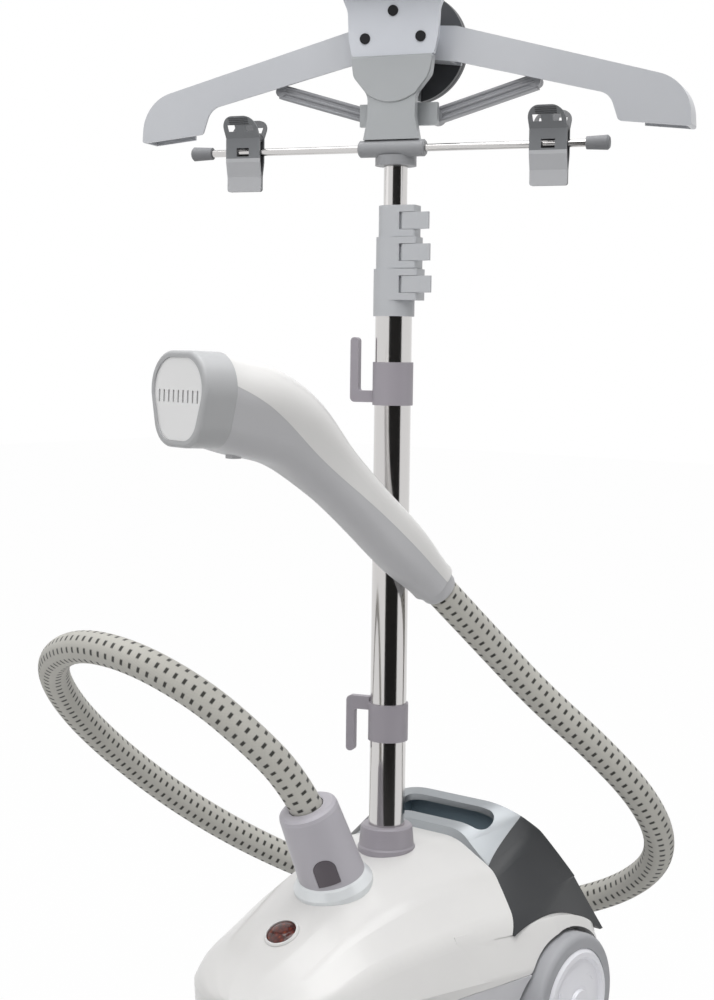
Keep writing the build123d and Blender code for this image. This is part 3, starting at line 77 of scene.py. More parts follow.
def add_node(
    tree: bpy.types.NodeTree, kind: str, settings: dict | None = None, links: dict | None = None,
) -> bpy.types.Node:
    """Add one node with its settings and links.

    Args:
        tree: Node tree that gets the node.
        kind: Blender's name of the node type, without its "ShaderNode".
        settings: Values by input name or number, or by property name.
        links: Output sockets by the name or number of the input that they feed.

    Returns:
        The new node.
    """
    node = tree.nodes.new("ShaderNode" + kind)
    for name, value in (settings or {}).items():
        if isinstance(name, int) or name in node.inputs:
            node.inputs[name].default_value = value
        else:
            setattr(node, name, value)
    for name, socket in (links or {}).items():
        tree.links.new(socket, node.inputs[name])
    return node


@dataclass(frozen=True)
class Finish:
    """A material with a fine surface grain and a faint change of tone.

    The grain breaks up highlights as a real moulded or cast skin does.
    """

    name: str
    colour: str
    shade: str
    roughness: float
    metallic: float = 0.0
    coat: float = 0.0
    grain_mm: float = 0.9
    depth_mm: float = 0.02
    patch_mm: float = 70.0

    def make(self) -> bpy.types.Material:
        """Build the material.

        Returns:
            A new material, ready to assign.
        """
        material = bpy.data.materials.new(self.name)
        material.use_nodes = True
        tree = material.node_tree
        shader = tree.nodes["Principled BSDF"]
        shader.inputs["Roughness"].default_value = self.roughness
        shader.inputs["Metallic"].default_value = self.metallic
        shader.inputs["Coat Weight"].default_value = self.coat
        shader.inputs["Coat Roughness"].default_value = 0.08
        self.dress(tree, shader)
        return material

    def dress(self, tree: bpy.types.NodeTree, shader: bpy.types.Node) -> None:
        """Add the colour change, the roughness change and the grain.

        Args:
            tree: Node tree of the material.
            shader: Its surface shader.
        """
        place = add_node(tree, "TexCoord").outputs["Object"]
        patch = add_node(
            tree, "TexNoise", {"Scale": 1 / (self.patch_mm * MM), "Detail": 3.0}, {"Vector": place}
        )
        tone = add_node(
            tree, "Mix", {"data_type": "RGBA", 6: linear(self.colour), 7: linear(self.shade)},
            {0: patch.outputs[0]},
        )
        tree.links.new(tone.outputs[2], shader.inputs["Base Color"])
        grain = add_node(
            tree, "TexNoise", {"Scale": 1 / (self.grain_mm * MM), "Detail": 2.0}, {"Vector": place}
        )
        gloss = add_node(
            tree, "MapRange", {"To Min": self.roughness * 0.85, "To Max": min(1.0, self.roughness * 1.2)},
            {"Value": patch.outputs[0]},
        )
        tree.links.new(gloss.outputs[0], shader.inputs["Roughness"])
        bump = add_node(
            tree, "Bump", {"Strength": 0.35, "Distance": self.depth_mm * MM}, {"Height": grain.outputs[0]}
        )
        tree.links.new(bump.outputs[0], shader.inputs["Normal"])


@dataclass(frozen=True)
class DrawnSteel(Finish):
    """Polished drawn steel tube or rod: mirror-like, with faint lines along its length."""

    along: tuple[float, float, float] = (0.0, 0.0, 1.0)
    streak_mm: float = 20.0
    stretch: float = 40.0

    def dress(self, tree: bpy.types.NodeTree, shader: bpy.types.Node) -> None:
        """Add draw lines that stretch along the tube.

        Args:
            tree: Node tree of the material.
            shader: Its surface shader.
        """
        shader.inputs["Base Color"].default_value = linear(self.colour)
        place = add_node(tree, "TexCoord").outputs["Object"]
        stretch = [self.stretch if abs(part) < 0.5 else 1.0 for part in self.along]
        scale = [part / (self.streak_mm * MM) for part in stretch]
        lines = add_node(tree, "Mapping", {"Scale": scale}, {"Vector": place})
        streak = add_node(tree, "TexNoise", {"Scale": 1.0, "Detail": 2.0}, {"Vector": lines.outputs[0]})
        gloss = add_node(
            tree, "MapRange", {"To Min": self.roughness * 0.7, "To Max": self.roughness * 1.5},
            {"Value": streak.outputs[0]},
        )
        tree.links.new(gloss.outputs[0], shader.inputs["Roughness"])
        bump = add_node(
            tree, "Bump", {"Strength": 0.1, "Distance": self.depth_mm * MM}, {"Height": streak.outputs[0]}
        )
        tree.links.new(bump.outputs[0], shader.inputs["Normal"])


@dataclass(frozen=True)
class PaddedJaw(Finish):
    """Two-shot moulded clip jaw: a dark tab above the bar and a paler gripping pad below it."""

    pad: str = "#BDBEC1"
    split_z: float = 0.7505

    def dress(self, tree: bpy.types.NodeTree, shader: bpy.types.Node) -> None:
        """Add the change of colour at the height of the bar over the usual grain.

        Args:
            tree: Node tree of the material.
            shader: Its surface shader.
        """
        super().dress(tree, shader)
        tab = shader.inputs["Base Color"].links[0].from_socket
        place = add_node(tree, "TexCoord").outputs["Object"]
        height = add_node(tree, "SeparateXYZ", {}, {0: place}).outputs[2]
        below = add_node(tree, "Math", {"operation": "LESS_THAN", 1: self.split_z}, {0: height})
        tone = add_node(
            tree, "Mix", {"data_type": "RGBA", 7: linear(self.pad)}, {0: below.outputs[0], 6: tab}
        )
        tree.links.new(tone.outputs[2], shader.inputs["Base Color"])


@dataclass(frozen=True)
class SmokedTank(Finish):
    """Smoked tank skin, with painted light in the finger well: a lighter blue-grey colour stands in for the
    light that falls into it.
    """

    # Painted light: the lighter blue-grey laid inside the finger well, where light falls in.
    well: str = "#8C9CA6"
    well_half: float = 0.055
    well_back: float = 0.106
    well_low: float = 0.150

    def dress(self, tree: bpy.types.NodeTree, shader: bpy.types.Node) -> None:
        """Add the painted light of the finger well, a lighter blue-grey, over the usual grain.

        Args:
            tree: Node tree of the material.
            shader: Its surface shader.
        """
        super().dress(tree, shader)
        skin = shader.inputs["Base Color"].links[0].from_socket
        place = add_node(tree, "SeparateXYZ", {}, {0: add_node(tree, "TexCoord").outputs["Object"]})
        across = add_node(tree, "Math", {"operation": "ABSOLUTE"}, {0: place.outputs[0]}).outputs[0]
        tests = (
            ("LESS_THAN", across, self.well_half), ("LESS_THAN", place.outputs[1], self.well_back),
            ("GREATER_THAN", place.outputs[2], self.well_low),
        )
        inside = [
            add_node(tree, "Math", {"operation": kind, 1: limit}, {0: value}) for kind, value, limit in tests
        ]
        first = add_node(
            tree, "Math", {"operation": "MULTIPLY"}, {0: inside[0].outputs[0], 1: inside[1].outputs[0]}
        )
        share = add_node(
            tree, "Math", {"operation": "MULTIPLY"}, {0: first.outputs[0], 1: inside[2].outputs[0]}
        )
        # Painted light: inside the finger well the skin turns lighter blue-grey.
        tone = add_node(
            tree, "Mix", {"data_type": "RGBA", 7: linear(self.well)}, {0: share.outputs[0], 6: skin}
        )
        tree.links.new(tone.outputs[2], shader.inputs["Base Color"])


@dataclass(frozen=True)
class RedLens(Finish):
    """Clear red acrylic over a faceted reflector: dark red behind a wet gloss, with a painted orange glint at
    the middle of each facet that fades to dark red at its edges.
    """

    painted_glint: str = "#86401F"
    facet_mm: float = 4.0

    def dress(self, tree: bpy.types.NodeTree, shader: bpy.types.Node) -> None:
        """Add the facets of the reflector: real relief in the bump, painted glints in the colour.

        Args:
            tree: Node tree of the material.
            shader: Its surface shader.
        """
        place = add_node(tree, "TexCoord").outputs["Object"]
        facet = add_node(tree, "TexVoronoi", {"Scale": 1 / (self.facet_mm * MM)}, {"Vector": place})
        # Painted glint: each facet is orange at its middle and dark red at its edges, as if it caught the
        # light.
        tone = add_node(tree, "ValToRGB", {}, {"Fac": facet.outputs["Distance"]})
        ramp = tone.color_ramp
        ramp.elements[0].color = linear(self.painted_glint)
        ramp.elements[1].color = linear(self.shade)
        ramp.elements[0].position = 0.05
        ramp.elements[1].position = 0.75
        middle = ramp.elements.new(0.32)
        middle.color = linear(self.colour)
        tree.links.new(tone.outputs[0], shader.inputs["Base Color"])
        bump = add_node(
            tree, "Bump", {"Strength": 0.3, "Distance": 0.3 * MM}, {"Height": facet.outputs["Distance"]}
        )
        tree.links.new(bump.outputs[0], shader.inputs["Normal"])


@dataclass(frozen=True)
class WovenSleeve(Finish):
    """Woven polyester sleeve: pale yarn with staggered dark stitches that run round the hose."""

    stitch: str = "#3A3935"
    rows: int = 8
    pitch_mm: float = 8.2
    stitch_wide_mm: float = 2.6
    stitch_round: float = 0.46
    yarn_mm: float = 1.5
    yarns_round: int = 56

    def dress(self, tree: bpy.types.NodeTree, shader: bpy.types.Node) -> None:
        """Add the stitches and the yarns over the hose's own UV map.

        Args:
            tree: Node tree of the material.
            shader: Its surface shader.
        """
        def math_node(operation: str, *inputs) -> bpy.types.NodeSocket:
            """Chain one sum of numbers or sockets.

            Args:
                operation: Blender's name of the sum.
                *inputs: Numbers or output sockets.

            Returns:
                The socket with its result.
            """
            values = {i: v for i, v in enumerate(inputs) if not hasattr(v, "node")}
            sockets = {i: v for i, v in enumerate(inputs) if hasattr(v, "node")}
            return add_node(tree, "Math", {"operation": operation, **values}, sockets).outputs[0]

        uv = add_node(tree, "TexCoord").outputs["UV"]
        split = add_node(tree, "SeparateXYZ", {}, {0: uv})
        rounds = math_node("MULTIPLY", split.outputs[0], float(self.rows))
        row = math_node("FLOOR", rounds)
        shift = math_node("MULTIPLY", math_node("MODULO", row, 2.0), 0.5)
        along = math_node("ADD", math_node("DIVIDE", split.outputs[1], self.pitch_mm * MM), shift)
        across = math_node("ABSOLUTE", math_node("SUBTRACT", math_node("FRACT", rounds), 0.5))
        length = math_node("ABSOLUTE", math_node("SUBTRACT", math_node("FRACT", along), 0.5))
        half = self.stitch_wide_mm / self.pitch_mm / 2
        inside = [
            add_node(tree, "MapRange", {"From Min": limit * 1.25, "From Max": limit * 0.75}, {"Value": value})
            for value, limit in ((across, self.stitch_round / 2), (length, half))
        ]
        mark = math_node("MULTIPLY", inside[0].outputs[0], inside[1].outputs[0])
        turns = math_node("MULTIPLY", split.outputs[0], math.tau * self.yarns_round)
        waves = math_node("MULTIPLY", split.outputs[1], math.tau / (self.yarn_mm * MM))
        yarn_round, yarn_along = math_node("SINE", turns), math_node("SINE", waves)
        weave = math_node("MULTIPLY", yarn_round, yarn_along)
        tone = add_node(
            tree, "Mix", {"data_type": "RGBA", 6: linear(self.colour), 7: linear(self.shade)},
            {0: math_node("MULTIPLY_ADD", weave, 0.35, 0.35)},
        )
        cloth = add_node(
            tree, "Mix", {"data_type": "RGBA", 7: linear(self.stitch)}, {0: mark, 6: tone.outputs[2]}
        )
        tree.links.new(cloth.outputs[2], shader.inputs["Base Color"])
        height = math_node("MULTIPLY_ADD", mark, -0.8, weave)
        bump = add_node(tree, "Bump", {"Strength": 0.5, "Distance": 0.25 * MM}, {"Height": height})
        tree.links.new(bump.outputs[0], shader.inputs["Normal"])
        shader.inputs["Sheen Weight"].default_value = 0.25


# Glossy ABS with a pearl tint, as moulded: soft broad highlights on a near-white skin.
PEARL = Finish("pearl_abs", "#EDECEA", "#E4E3E2", 0.3, coat=0.25, depth_mm=0.008)
# Satin ABS in greys, spark-eroded mould: even, slightly dusty look.
TUB_GREY = Finish("tub_grey_abs", "#DCDCDF", "#D3D3D7", 0.45)
COLLAR_GREY = Finish("collar_grey_abs", "#C9CBCE", "#C1C3C7", 0.42)
SOCKET_GREY = Finish("socket_mauve_abs", "#ACA7AE", "#A39EA6", 0.42)
CONNECTOR_GREY = Finish("connector_lavender_abs", "#C6C3CA", "#BDBAC1", 0.4)
HANDSET_GREY = Finish("handset_grey_abs", "#CBCBCD", "#C3C3C6", 0.42)
BEZEL_GREY = Finish("bezel_pale_abs", "#BDBEBF", "#B4B5B7", 0.4)
CHARCOAL = Finish("charcoal_abs", "#4B4C4F", "#434447", 0.42)
BUTTON_GREY = Finish("button_mauve_abs", "#6B656B", "#625C62", 0.45)
JAW = PaddedJaw("two_shot_jaw_abs", "#828487", "#797B7E", 0.45)
CLAMP_GREY = Finish("clamp_grey_abs", "#A2A3A6", "#98999C", 0.4)
# Black-oxide steel, dark and dull, partly painted shade: the screws are coloured near-black so each reads as
# a shaded hole from a distance.
BLACK_SCREW_HOLE_SHADE = Finish("black_oxide_steel_and_hole_shade", "#2A2A2C", "#232325", 0.5, metallic=0.6)
# Silver lacquer with fine flake over ABS: a soft metallic lustre.
SILVER = Finish("silver_lacquer", "#A2A6A9", "#969A9E", 0.36, metallic=0.6, coat=0.15, grain_mm=0.5)
RING_SILVER = Finish(
    "ring_silver_lacquer", "#F2F5F7", "#EBEFF1", 0.3, metallic=0.12, coat=0.3, grain_mm=0.5,
)
HANGER_SILVER = Finish(
    "hanger_silver_lacquer", "#D0D2D6", "#C6C8CD", 0.38, metallic=0.2, coat=0.15, grain_mm=0.5,
)
PLATE_SILVER = Finish(
    "plate_silver_lacquer", "#E0E3E9", "#D7DAE1", 0.38, metallic=0.2, coat=0.15, grain_mm=0.5,
)
FLAP_SILVER = Finish(
    "flap_silver_lacquer", "#B8BBBD", "#AFB2B4", 0.4, metallic=0.3, coat=0.15, grain_mm=0.5,
)
STRUT_GREY = Finish("strut_grey_abs", "#A9AAAE", "#9FA0A4", 0.42, metallic=0.1, grain_mm=0.5)
CAP_RUBBER = Finish("cap_grey_rubber", "#8A8B8E", "#818285", 0.6, grain_mm=0.7, depth_mm=0.05)
# Smoked polycarbonate, as moulded: near-black glossy skin, with painted light in its finger well.
SMOKED = SmokedTank("smoked_polycarbonate", "#2B2D30", "#26282B", 0.38, depth_mm=0.006)
# Red lens whose reflector facets carry painted glints.
LENS = RedLens("red_acrylic_lens", "#5E1A0E", "#38100A", 0.15, coat=0.1)
# Vulcanised rubber: matt and slightly chalky.
RUBBER = Finish("dark_rubber", "#3A3A3B", "#333334", 0.75, grain_mm=0.7, depth_mm=0.05)
TYRE = Finish("grey_tyre_rubber", "#B5B6BA", "#ADAEB2", 0.6, grain_mm=0.7, depth_mm=0.05)
HUB = Finish("hub_white_abs", "#FAFAFF", "#F4F4FA", 0.35, coat=0.15, depth_mm=0.01)
POLE_STEEL = DrawnSteel("polished_pole_steel", "#CFCDCC", "#CFCDCC", 0.13, metallic=1.0, depth_mm=0.01)
PLAIN_STEEL = Finish("plain_steel", "#A9A9AA", "#9B9B9D", 0.35, metallic=1.0, grain_mm=0.6)
CAST_ALLOY = Finish("cast_alloy", "#A9AAAC", "#97989B", 0.5, metallic=1.0, grain_mm=1.4, depth_mm=0.15)
# Anodised aluminium plate, bead-blasted: satin and pale.
PLATE = Finish("satin_plate", "#EBEBEB", "#E4E4E4", 0.36, metallic=0.35, grain_mm=0.4)
SILICONE = Finish("silicone_tube", "#CFCBC0", "#C4C0B4", 0.5)
SLEEVE = WovenSleeve("woven_sleeve", "#D3D1CA", "#B9B7AF", 0.85)

SMOOTH_BELOW = math.radians(35.0)

NODE_FINISH = {
    PEARL: ("upper_cover", "handset_upper_shell", "power_bezel"),
    TUB_GREY: ("lower_shell", "valve_seat"),
    COLLAR_GREY: (
        "lower_collar", "middle_collar", "upper_collar", "lower_lever", "middle_lever", "upper_lever",
    ),
    SOCKET_GREY: ("pole_socket", "upper_hook", "lower_hook"),
    CONNECTOR_GREY: ("hose_connector",),
    HANDSET_GREY: ("handset_lower_shell", "handset_latch", "hose_ferrule"),
    BEZEL_GREY: ("handset_bezel",),
    CHARCOAL: (
        "switch_body", "tank_valve", "hanger_rear_housing", "left_clip_rear_jaw",
        "right_clip_rear_jaw",
    ),
    JAW: ("left_clip_front_jaw", "right_clip_front_jaw"),
    CLAMP_GREY: ("bar_clamp",),
    BLACK_SCREW_HOLE_SHADE: ("head_screws",),
    BUTTON_GREY: ("connector_release",),
    SILVER: ("tank_handle",),
    RING_SILVER: ("hose_socket_ring",),
    HANGER_SILVER: ("left_hanger_arm", "right_hanger_arm"),
    PLATE_SILVER: ("hanger_front_plate",),
    STRUT_GREY: ("left_hanger_strut", "right_hanger_strut"),
    CAP_RUBBER: ("bar_caps",),
    FLAP_SILVER: ("hanger_neck",),
    SMOKED: ("water_tank",),
    LENS: ("power_button",),
    RUBBER: ("cord_gland", "front_feet"),
    TYRE: ("left_tyre", "right_tyre"),
    HUB: ("left_hub", "right_hub"),
    POLE_STEEL: ("lower_tube", "second_tube", "third_tube", "top_tube", "trouser_bar"),
    PLAIN_STEEL: ("heating_element", "wheel_axle", "left_clip_spring", "right_clip_spring"),
    CAST_ALLOY: ("boiler",),
    PLATE: ("steam_plate",),
    SILICONE: ("boiler_tubes", "handset_pipe"),
    SLEEVE: ("steam_hose",),
}


def bevelled_pad(
    name: str, outline: list[tuple[float, float]], thick: float, rim: float, place: Matrix,
) -> bpy.types.Object:
    """Model a thin moulded pad: a filled outline, raised and drawn in at its front rim.

    Args:
        name: Name of the piece.
        outline: Corners in the pad's own plane, in order.
        thick: How far it stands out.
        rim: Width of the chamfer round its front.
        place: Where the plane of its back lies.

    Returns:
        The pad, with its place in its mesh.
    """
    bpy.ops.object.select_all(action="DESELECT")
    bpy.ops.mesh.primitive_circle_add(vertices=len(outline), fill_type="NGON")
    piece = bpy.context.object
    piece.name = piece.data.name = name
    for vertex, (across, along) in zip(piece.data.vertices, outline):
        vertex.co = (across, along, 0.0)
    bpy.ops.object.mode_set(mode="EDIT")
    bpy.ops.mesh.select_mode(type="FACE")
    bpy.ops.mesh.select_all(action="SELECT")
    bpy.ops.mesh.extrude_region_move(TRANSFORM_OT_translate={"value": (0.0, 0.0, thick - rim)})
    bpy.ops.mesh.inset(thickness=rim, depth=0.0)
    bpy.ops.transform.translate(value=(0.0, 0.0, rim))
    bpy.ops.mesh.select_all(action="SELECT")
    bpy.ops.mesh.normals_make_consistent(inside=False)
    bpy.ops.object.mode_set(mode="OBJECT")
    piece.data.transform(place)
    bpy.ops.object.shade_smooth_by_angle(angle=SMOOTH_BELOW)
    return piece


def dress_piece(piece: bpy.types.Object, material: bpy.types.Material, body: str) -> None:
    """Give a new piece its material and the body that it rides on.

    Args:
        piece: The new piece.
        material: Its material.
        body: Name of the body.
    """
    piece.data.materials.clear()
    piece.data.materials.append(material)
    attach(piece, body)
    log.info("%s rides on %s", piece.name, body)


def mirrored(right: bpy.types.Object) -> bpy.types.Object:
    """Copy a right-hand piece to the left, with a mesh of its own.

    Args:
        right: The right-hand piece.

    Returns:
        The left-hand piece.
    """
    left = right.copy()
    left.data = right.data.copy()
    left.data.transform(Matrix.Scale(-1.0, 4, (1.0, 0.0, 0.0)))
    left.data.flip_normals()
    bpy.context.scene.collection.objects.link(left)
    return left


@dataclass
class HangerTrim:
    """Shield flap on the neck of the hanger and the finger ridges of the clips."""

    turn: float = math.radians(19.0)
    neck_front: float = -14.0 * MM
    flap_side: tuple[tuple[float, float], ...] = (
        (33.0, 827.6), (33.9, 826.4), (33.6, 822.0), (32.0, 814.6), (30.2, 810.4), (26.6, 805.6),
        (22.4, 800.8), (20.4, 798.0),
    )
    flap_foot: float = 791.5
    flap_thick: float = 1.2 * MM
    flap_rim: float = 0.5 * MM
    clip_x: float = 129.0 * MM
    bar: tuple[float, float] = (-9.0 * MM, 755.5 * MM)
    tab_low: tuple[float, float] = (-5.3 * MM, 11.5 * MM)
    tab_high: tuple[float, float] = (-17.0 * MM, 28.0 * MM)
    ridge_long: float = 17.0 * MM
    ridge_wide: float = 0.8 * MM
    ridge_high: float = 0.5 * MM
    ridge_rim: float = 0.25 * MM
    ridge_first: float = 2.2 * MM
    ridge_pitch: float = 1.7 * MM
    ridges: int = 4

    def flap(self, material: bpy.types.Material) -> None:
        """Model the shield flap over the neck.

        Args:
            material: Its finish.
        """
        right = [(x * MM, z * MM) for x, z in self.flap_side]
        half, high = right[-1]
        sag = high - self.flap_foot * MM
        steps = 12
        arc = [(half * (1 - 2 * i / steps), 0.0) for i in range(1, steps)]
        arc = [(x, high - sag * (1 - (x / half) ** 2)) for x, _ in arc]
        outline = right + arc + [(-x, z) for x, z in reversed(right)]
        place = (
            Matrix.Rotation(self.turn, 4, "Z") @ Matrix.Translation((0.0, self.neck_front, 0.0))
            @ Matrix.Rotation(math.radians(90.0), 4, "X")
        )
        piece = bevelled_pad("hanger_flap", outline[::-1], self.flap_thick, self.flap_rim, place)
        dress_piece(piece, material, "hanger")

    def clip_ridges(self, material: bpy.types.Material) -> None:
        """Model the ridges on each front finger tab.

        Args:
            material: Their finish.
        """
        low, high = Vector(self.tab_low), Vector(self.tab_high)
        along = (high - low).normalized()
        lean = math.atan2(-along.x, along.y)
        half, wide = self.ridge_long / 2, self.ridge_wide / 2
        outline = [(-half, -wide), (half, -wide), (half, wide), (-half, wide)]
        for side, name in ((1, "right"), (-1, "left")):
            rows = []
            for row in range(self.ridges):
                spot = Vector(self.bar) + high - along * (self.ridge_first + self.ridge_pitch * row)
                place = (
                    Matrix.Rotation(self.turn, 4, "Z")
                    @ Matrix.Translation((side * self.clip_x, spot.x, spot.y))
                    @ Matrix.Rotation(math.radians(90.0) + lean, 4, "X")
                )
                ridge = bevelled_pad(
                    f"{name}_clip_ridges", outline, self.ridge_high, self.ridge_rim, place
                )
                rows.append(ridge)
            bpy.ops.object.select_all(action="DESELECT")
            for piece in rows:
                piece.select_set(True)
            bpy.context.view_layer.objects.active = rows[0]
            bpy.ops.object.join()
            dress_piece(rows[0], material, f"{name}_jaw")

    def build(self, made: dict[str, bpy.types.Material]) -> None:
        """Build the trim.

        Args:
            made: Materials by name.
        """
        self.flap(made[FLAP_SILVER.name])
        self.clip_ridges(made[CHARCOAL.name])


@dataclass
class HoodSides:
    """Hood whose sides run on over the wheels, in place of the solid's stepped wheel arches.

    The arches that stand out of the sides are cut back, and a panel flush with each side closes
    them. Lengths in this class are millimetres.
    """

    front: float = -32.0
    back: float = 143.0
    ahead: float = 2.0
    wheel: tuple[float, float, float] = (80.0, 57.0, 61.0)
    arc: tuple[float, float, float] = (60.0, 7.0, 122.9)
    tip: float = 19.5
    inner: float = 106.0
    thin: float = 3.0
    widest: tuple[float, float, float] = (138.0, 67.0, 0.29)
    corner: tuple[float, float, float] = (45.0, 96.0, 54.0)
    parting: tuple[float, float] = (95.3, 0.078)
    lift: tuple[float, float] = (9.0, 1.6)
    proud: float = 0.2
    sunk: float = 1.2
    front_ramp: float = 28.0
    tip_ramp: float = 6.0
    cut_low: float = 86.0
    cut_slack: float = 0.6
    cut_proud: float = 0.25
    profile: tuple[tuple[float, float], ...] = ()

    def half(self, y: float) -> float:
        """Give the half width of the base at its parting line.

        Args:
            y: Place along the base.

        Returns:
            The half width.
        """
        width, widest_y, taper = self.widest
        deep, start, long = self.corner
        corner = deep * (1 - math.sqrt(max(0.0, 1 - (max(0.0, y - start) / long) ** 2)))
        return width + (min(y, widest_y) - widest_y) * taper - corner

    def measure(self, cover: bpy.types.Object) -> None:
        """Read the slope of the hood's side just in front of the arch.

        Args:
            cover: The solid's cover.
        """
        rows = []
        for z in range(92, 148, 4):
            start = Vector((FAR_RIGHT, self.ahead * MM, z * MM))
            hit, spot, _, _ = cover.ray_cast(start, INWARDS)
            if hit:
                rows.append((float(z), spot.x / MM / self.half(self.ahead)))
        self.profile = tuple(rows)

    def side(self, y: float, z: float) -> float:
        """Give the place across of the hood's side.

        Args:
            y: Place along the base.
            z: Height.

        Returns:
            Distance from the middle.
        """
        rows = self.profile
        index = min(max(sum(row[0] <= z for row in rows), 1), len(rows) - 1)
        (low, first), (high, last) = rows[index - 1], rows[index]
        return (first + (last - first) * (z - low) / (high - low)) * self.half(y)

    def foot(self, y: float) -> float:
        """Give the height of a panel's lower edge: the parting line, then the wheel opening.

        Args:
            y: Place along the base.

        Returns:
            The height.
        """
        middle, axle, reach = self.wheel
        opening = axle + math.sqrt(max(0.0, reach**2 - (y - middle) ** 2))
        height, tilt = self.parting
        widest_y = self.widest[1]
        return max(height + (min(y, widest_y) - widest_y) * tilt, opening)

    def top(self, y: float) -> float:
        """Give the height of a panel's upper edge: above the arc only in front of the tank.

        Args:
            y: Place along the base.

        Returns:
            The height.
        """
        middle, low, reach = self.arc
        most, slope = self.lift
        lift = min(most, max(0.0, self.tip - y) * slope)
        return low + math.sqrt(reach**2 - (max(y, self.tip) - middle) ** 2) + lift

    def panel_spot(self, along: float, up: float) -> Vector:
        """Give the place of a point of the panel, sunk into the hood's side at its front edges.

        Args:
            along: Share of the way from front to back.
            up: Share of the way from the lower to the upper edge.

        Returns:
            The point.
        """
        y = self.front + along * (self.back - self.front)
        low = self.foot(y)
        z = low + up * (self.top(y) - low)
        sunk = max(0.0, 1 - along * (self.back - self.front) / self.front_ramp)
        if y < self.tip:
            middle, base, reach = self.arc
            rim = base + math.sqrt(reach**2 - (y - middle) ** 2) + 1.0
            share = (z - rim) / max(1.0, self.top(y) - rim)
            sunk = max(sunk, min(1.0, (self.tip - y) / self.tip_ramp) * share)
        return Vector((self.side(y, z) + self.proud - self.sunk * sunk, y, z))

    def panel(self) -> bpy.types.Object:
        """Model the right-hand panel from a grid that is bent to the side and drawn inwards.

        Returns:
            The panel.
        """
        bpy.ops.object.select_all(action="DESELECT")
        bpy.ops.mesh.primitive_grid_add(x_subdivisions=90, y_subdivisions=20, size=1.0)
        panel = bpy.context.object
        panel.name = panel.data.name = "side_panel"
        for vertex in panel.data.vertices:
            vertex.co = self.panel_spot(vertex.co.x + 0.5, vertex.co.y + 0.5) * MM
        bpy.ops.object.mode_set(mode="EDIT")
        bpy.ops.mesh.select_mode(type="FACE")
        bpy.ops.mesh.select_all(action="SELECT")
        inwards = (-self.inner * MM, 0.0, 0.0)
        bpy.ops.mesh.extrude_region_move(TRANSFORM_OT_translate={"value": inwards})
        bpy.ops.object.mode_set(mode="OBJECT")
        for vertex in panel.data.vertices:
            if vertex.select:
                vertex.co.x = min(self.inner * MM, vertex.co.x + (self.inner - self.thin) * MM)
        bpy.ops.object.mode_set(mode="EDIT")
        bpy.ops.mesh.select_all(action="SELECT")
        bpy.ops.mesh.normals_make_consistent(inside=False)
        bpy.ops.object.mode_set(mode="OBJECT")
        bpy.ops.object.shade_smooth_by_angle(angle=SMOOTH_BELOW)
        return panel

    def cut_back(self, hood: bpy.types.Object) -> None:
        """Take away the faces of the arches that stand out of the sides.

        Args:
            hood: Copy of the solid's cover.
        """
        middle, low, reach = self.arc
        proud = []
        for vertex in hood.data.vertices:
            x, y, z = vertex.co / MM
            inside = self.ahead + self.cut_slack < y < middle + reach and self.cut_low < z
            inside = inside and (y - middle) ** 2 + (z - low) ** 2 < (reach + self.cut_slack) ** 2
            proud.append(inside and abs(x) > self.side(y, z) + self.cut_proud)
        for face in hood.data.polygons:
            face.select = any(proud[index] for index in face.vertices)
        bpy.ops.object.select_all(action="DESELECT")
        hood.select_set(True)
        bpy.context.view_layer.objects.active = hood
        bpy.ops.object.mode_set(mode="EDIT")
        bpy.ops.mesh.select_mode(type="FACE")
        bpy.ops.mesh.delete(type="FACE")
        bpy.ops.object.mode_set(mode="OBJECT")

    def build(self, material: bpy.types.Material) -> None:
        """Build the hood that takes the place of the solid's cover.

        Args:
            material: Its finish.
        """
        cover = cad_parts["upper_cover"]
        self.measure(cover)
        hood = cover.copy()
        hood.data = cover.data.copy()
        hood.name = hood.data.name = "hood"
        hood.parent = None
        hood.matrix_world = Matrix.Identity(4)
        bpy.context.scene.collection.objects.link(hood)
        self.cut_back(hood)
        right = self.panel()
        left = mirrored(right)
        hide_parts("upper_cover")
        dress_piece(hood, material, "base")
        for name, piece in (("right_hood_side", right), ("left_hood_side", left)):
            piece.name = piece.data.name = name
            dress_piece(piece, material, "base")


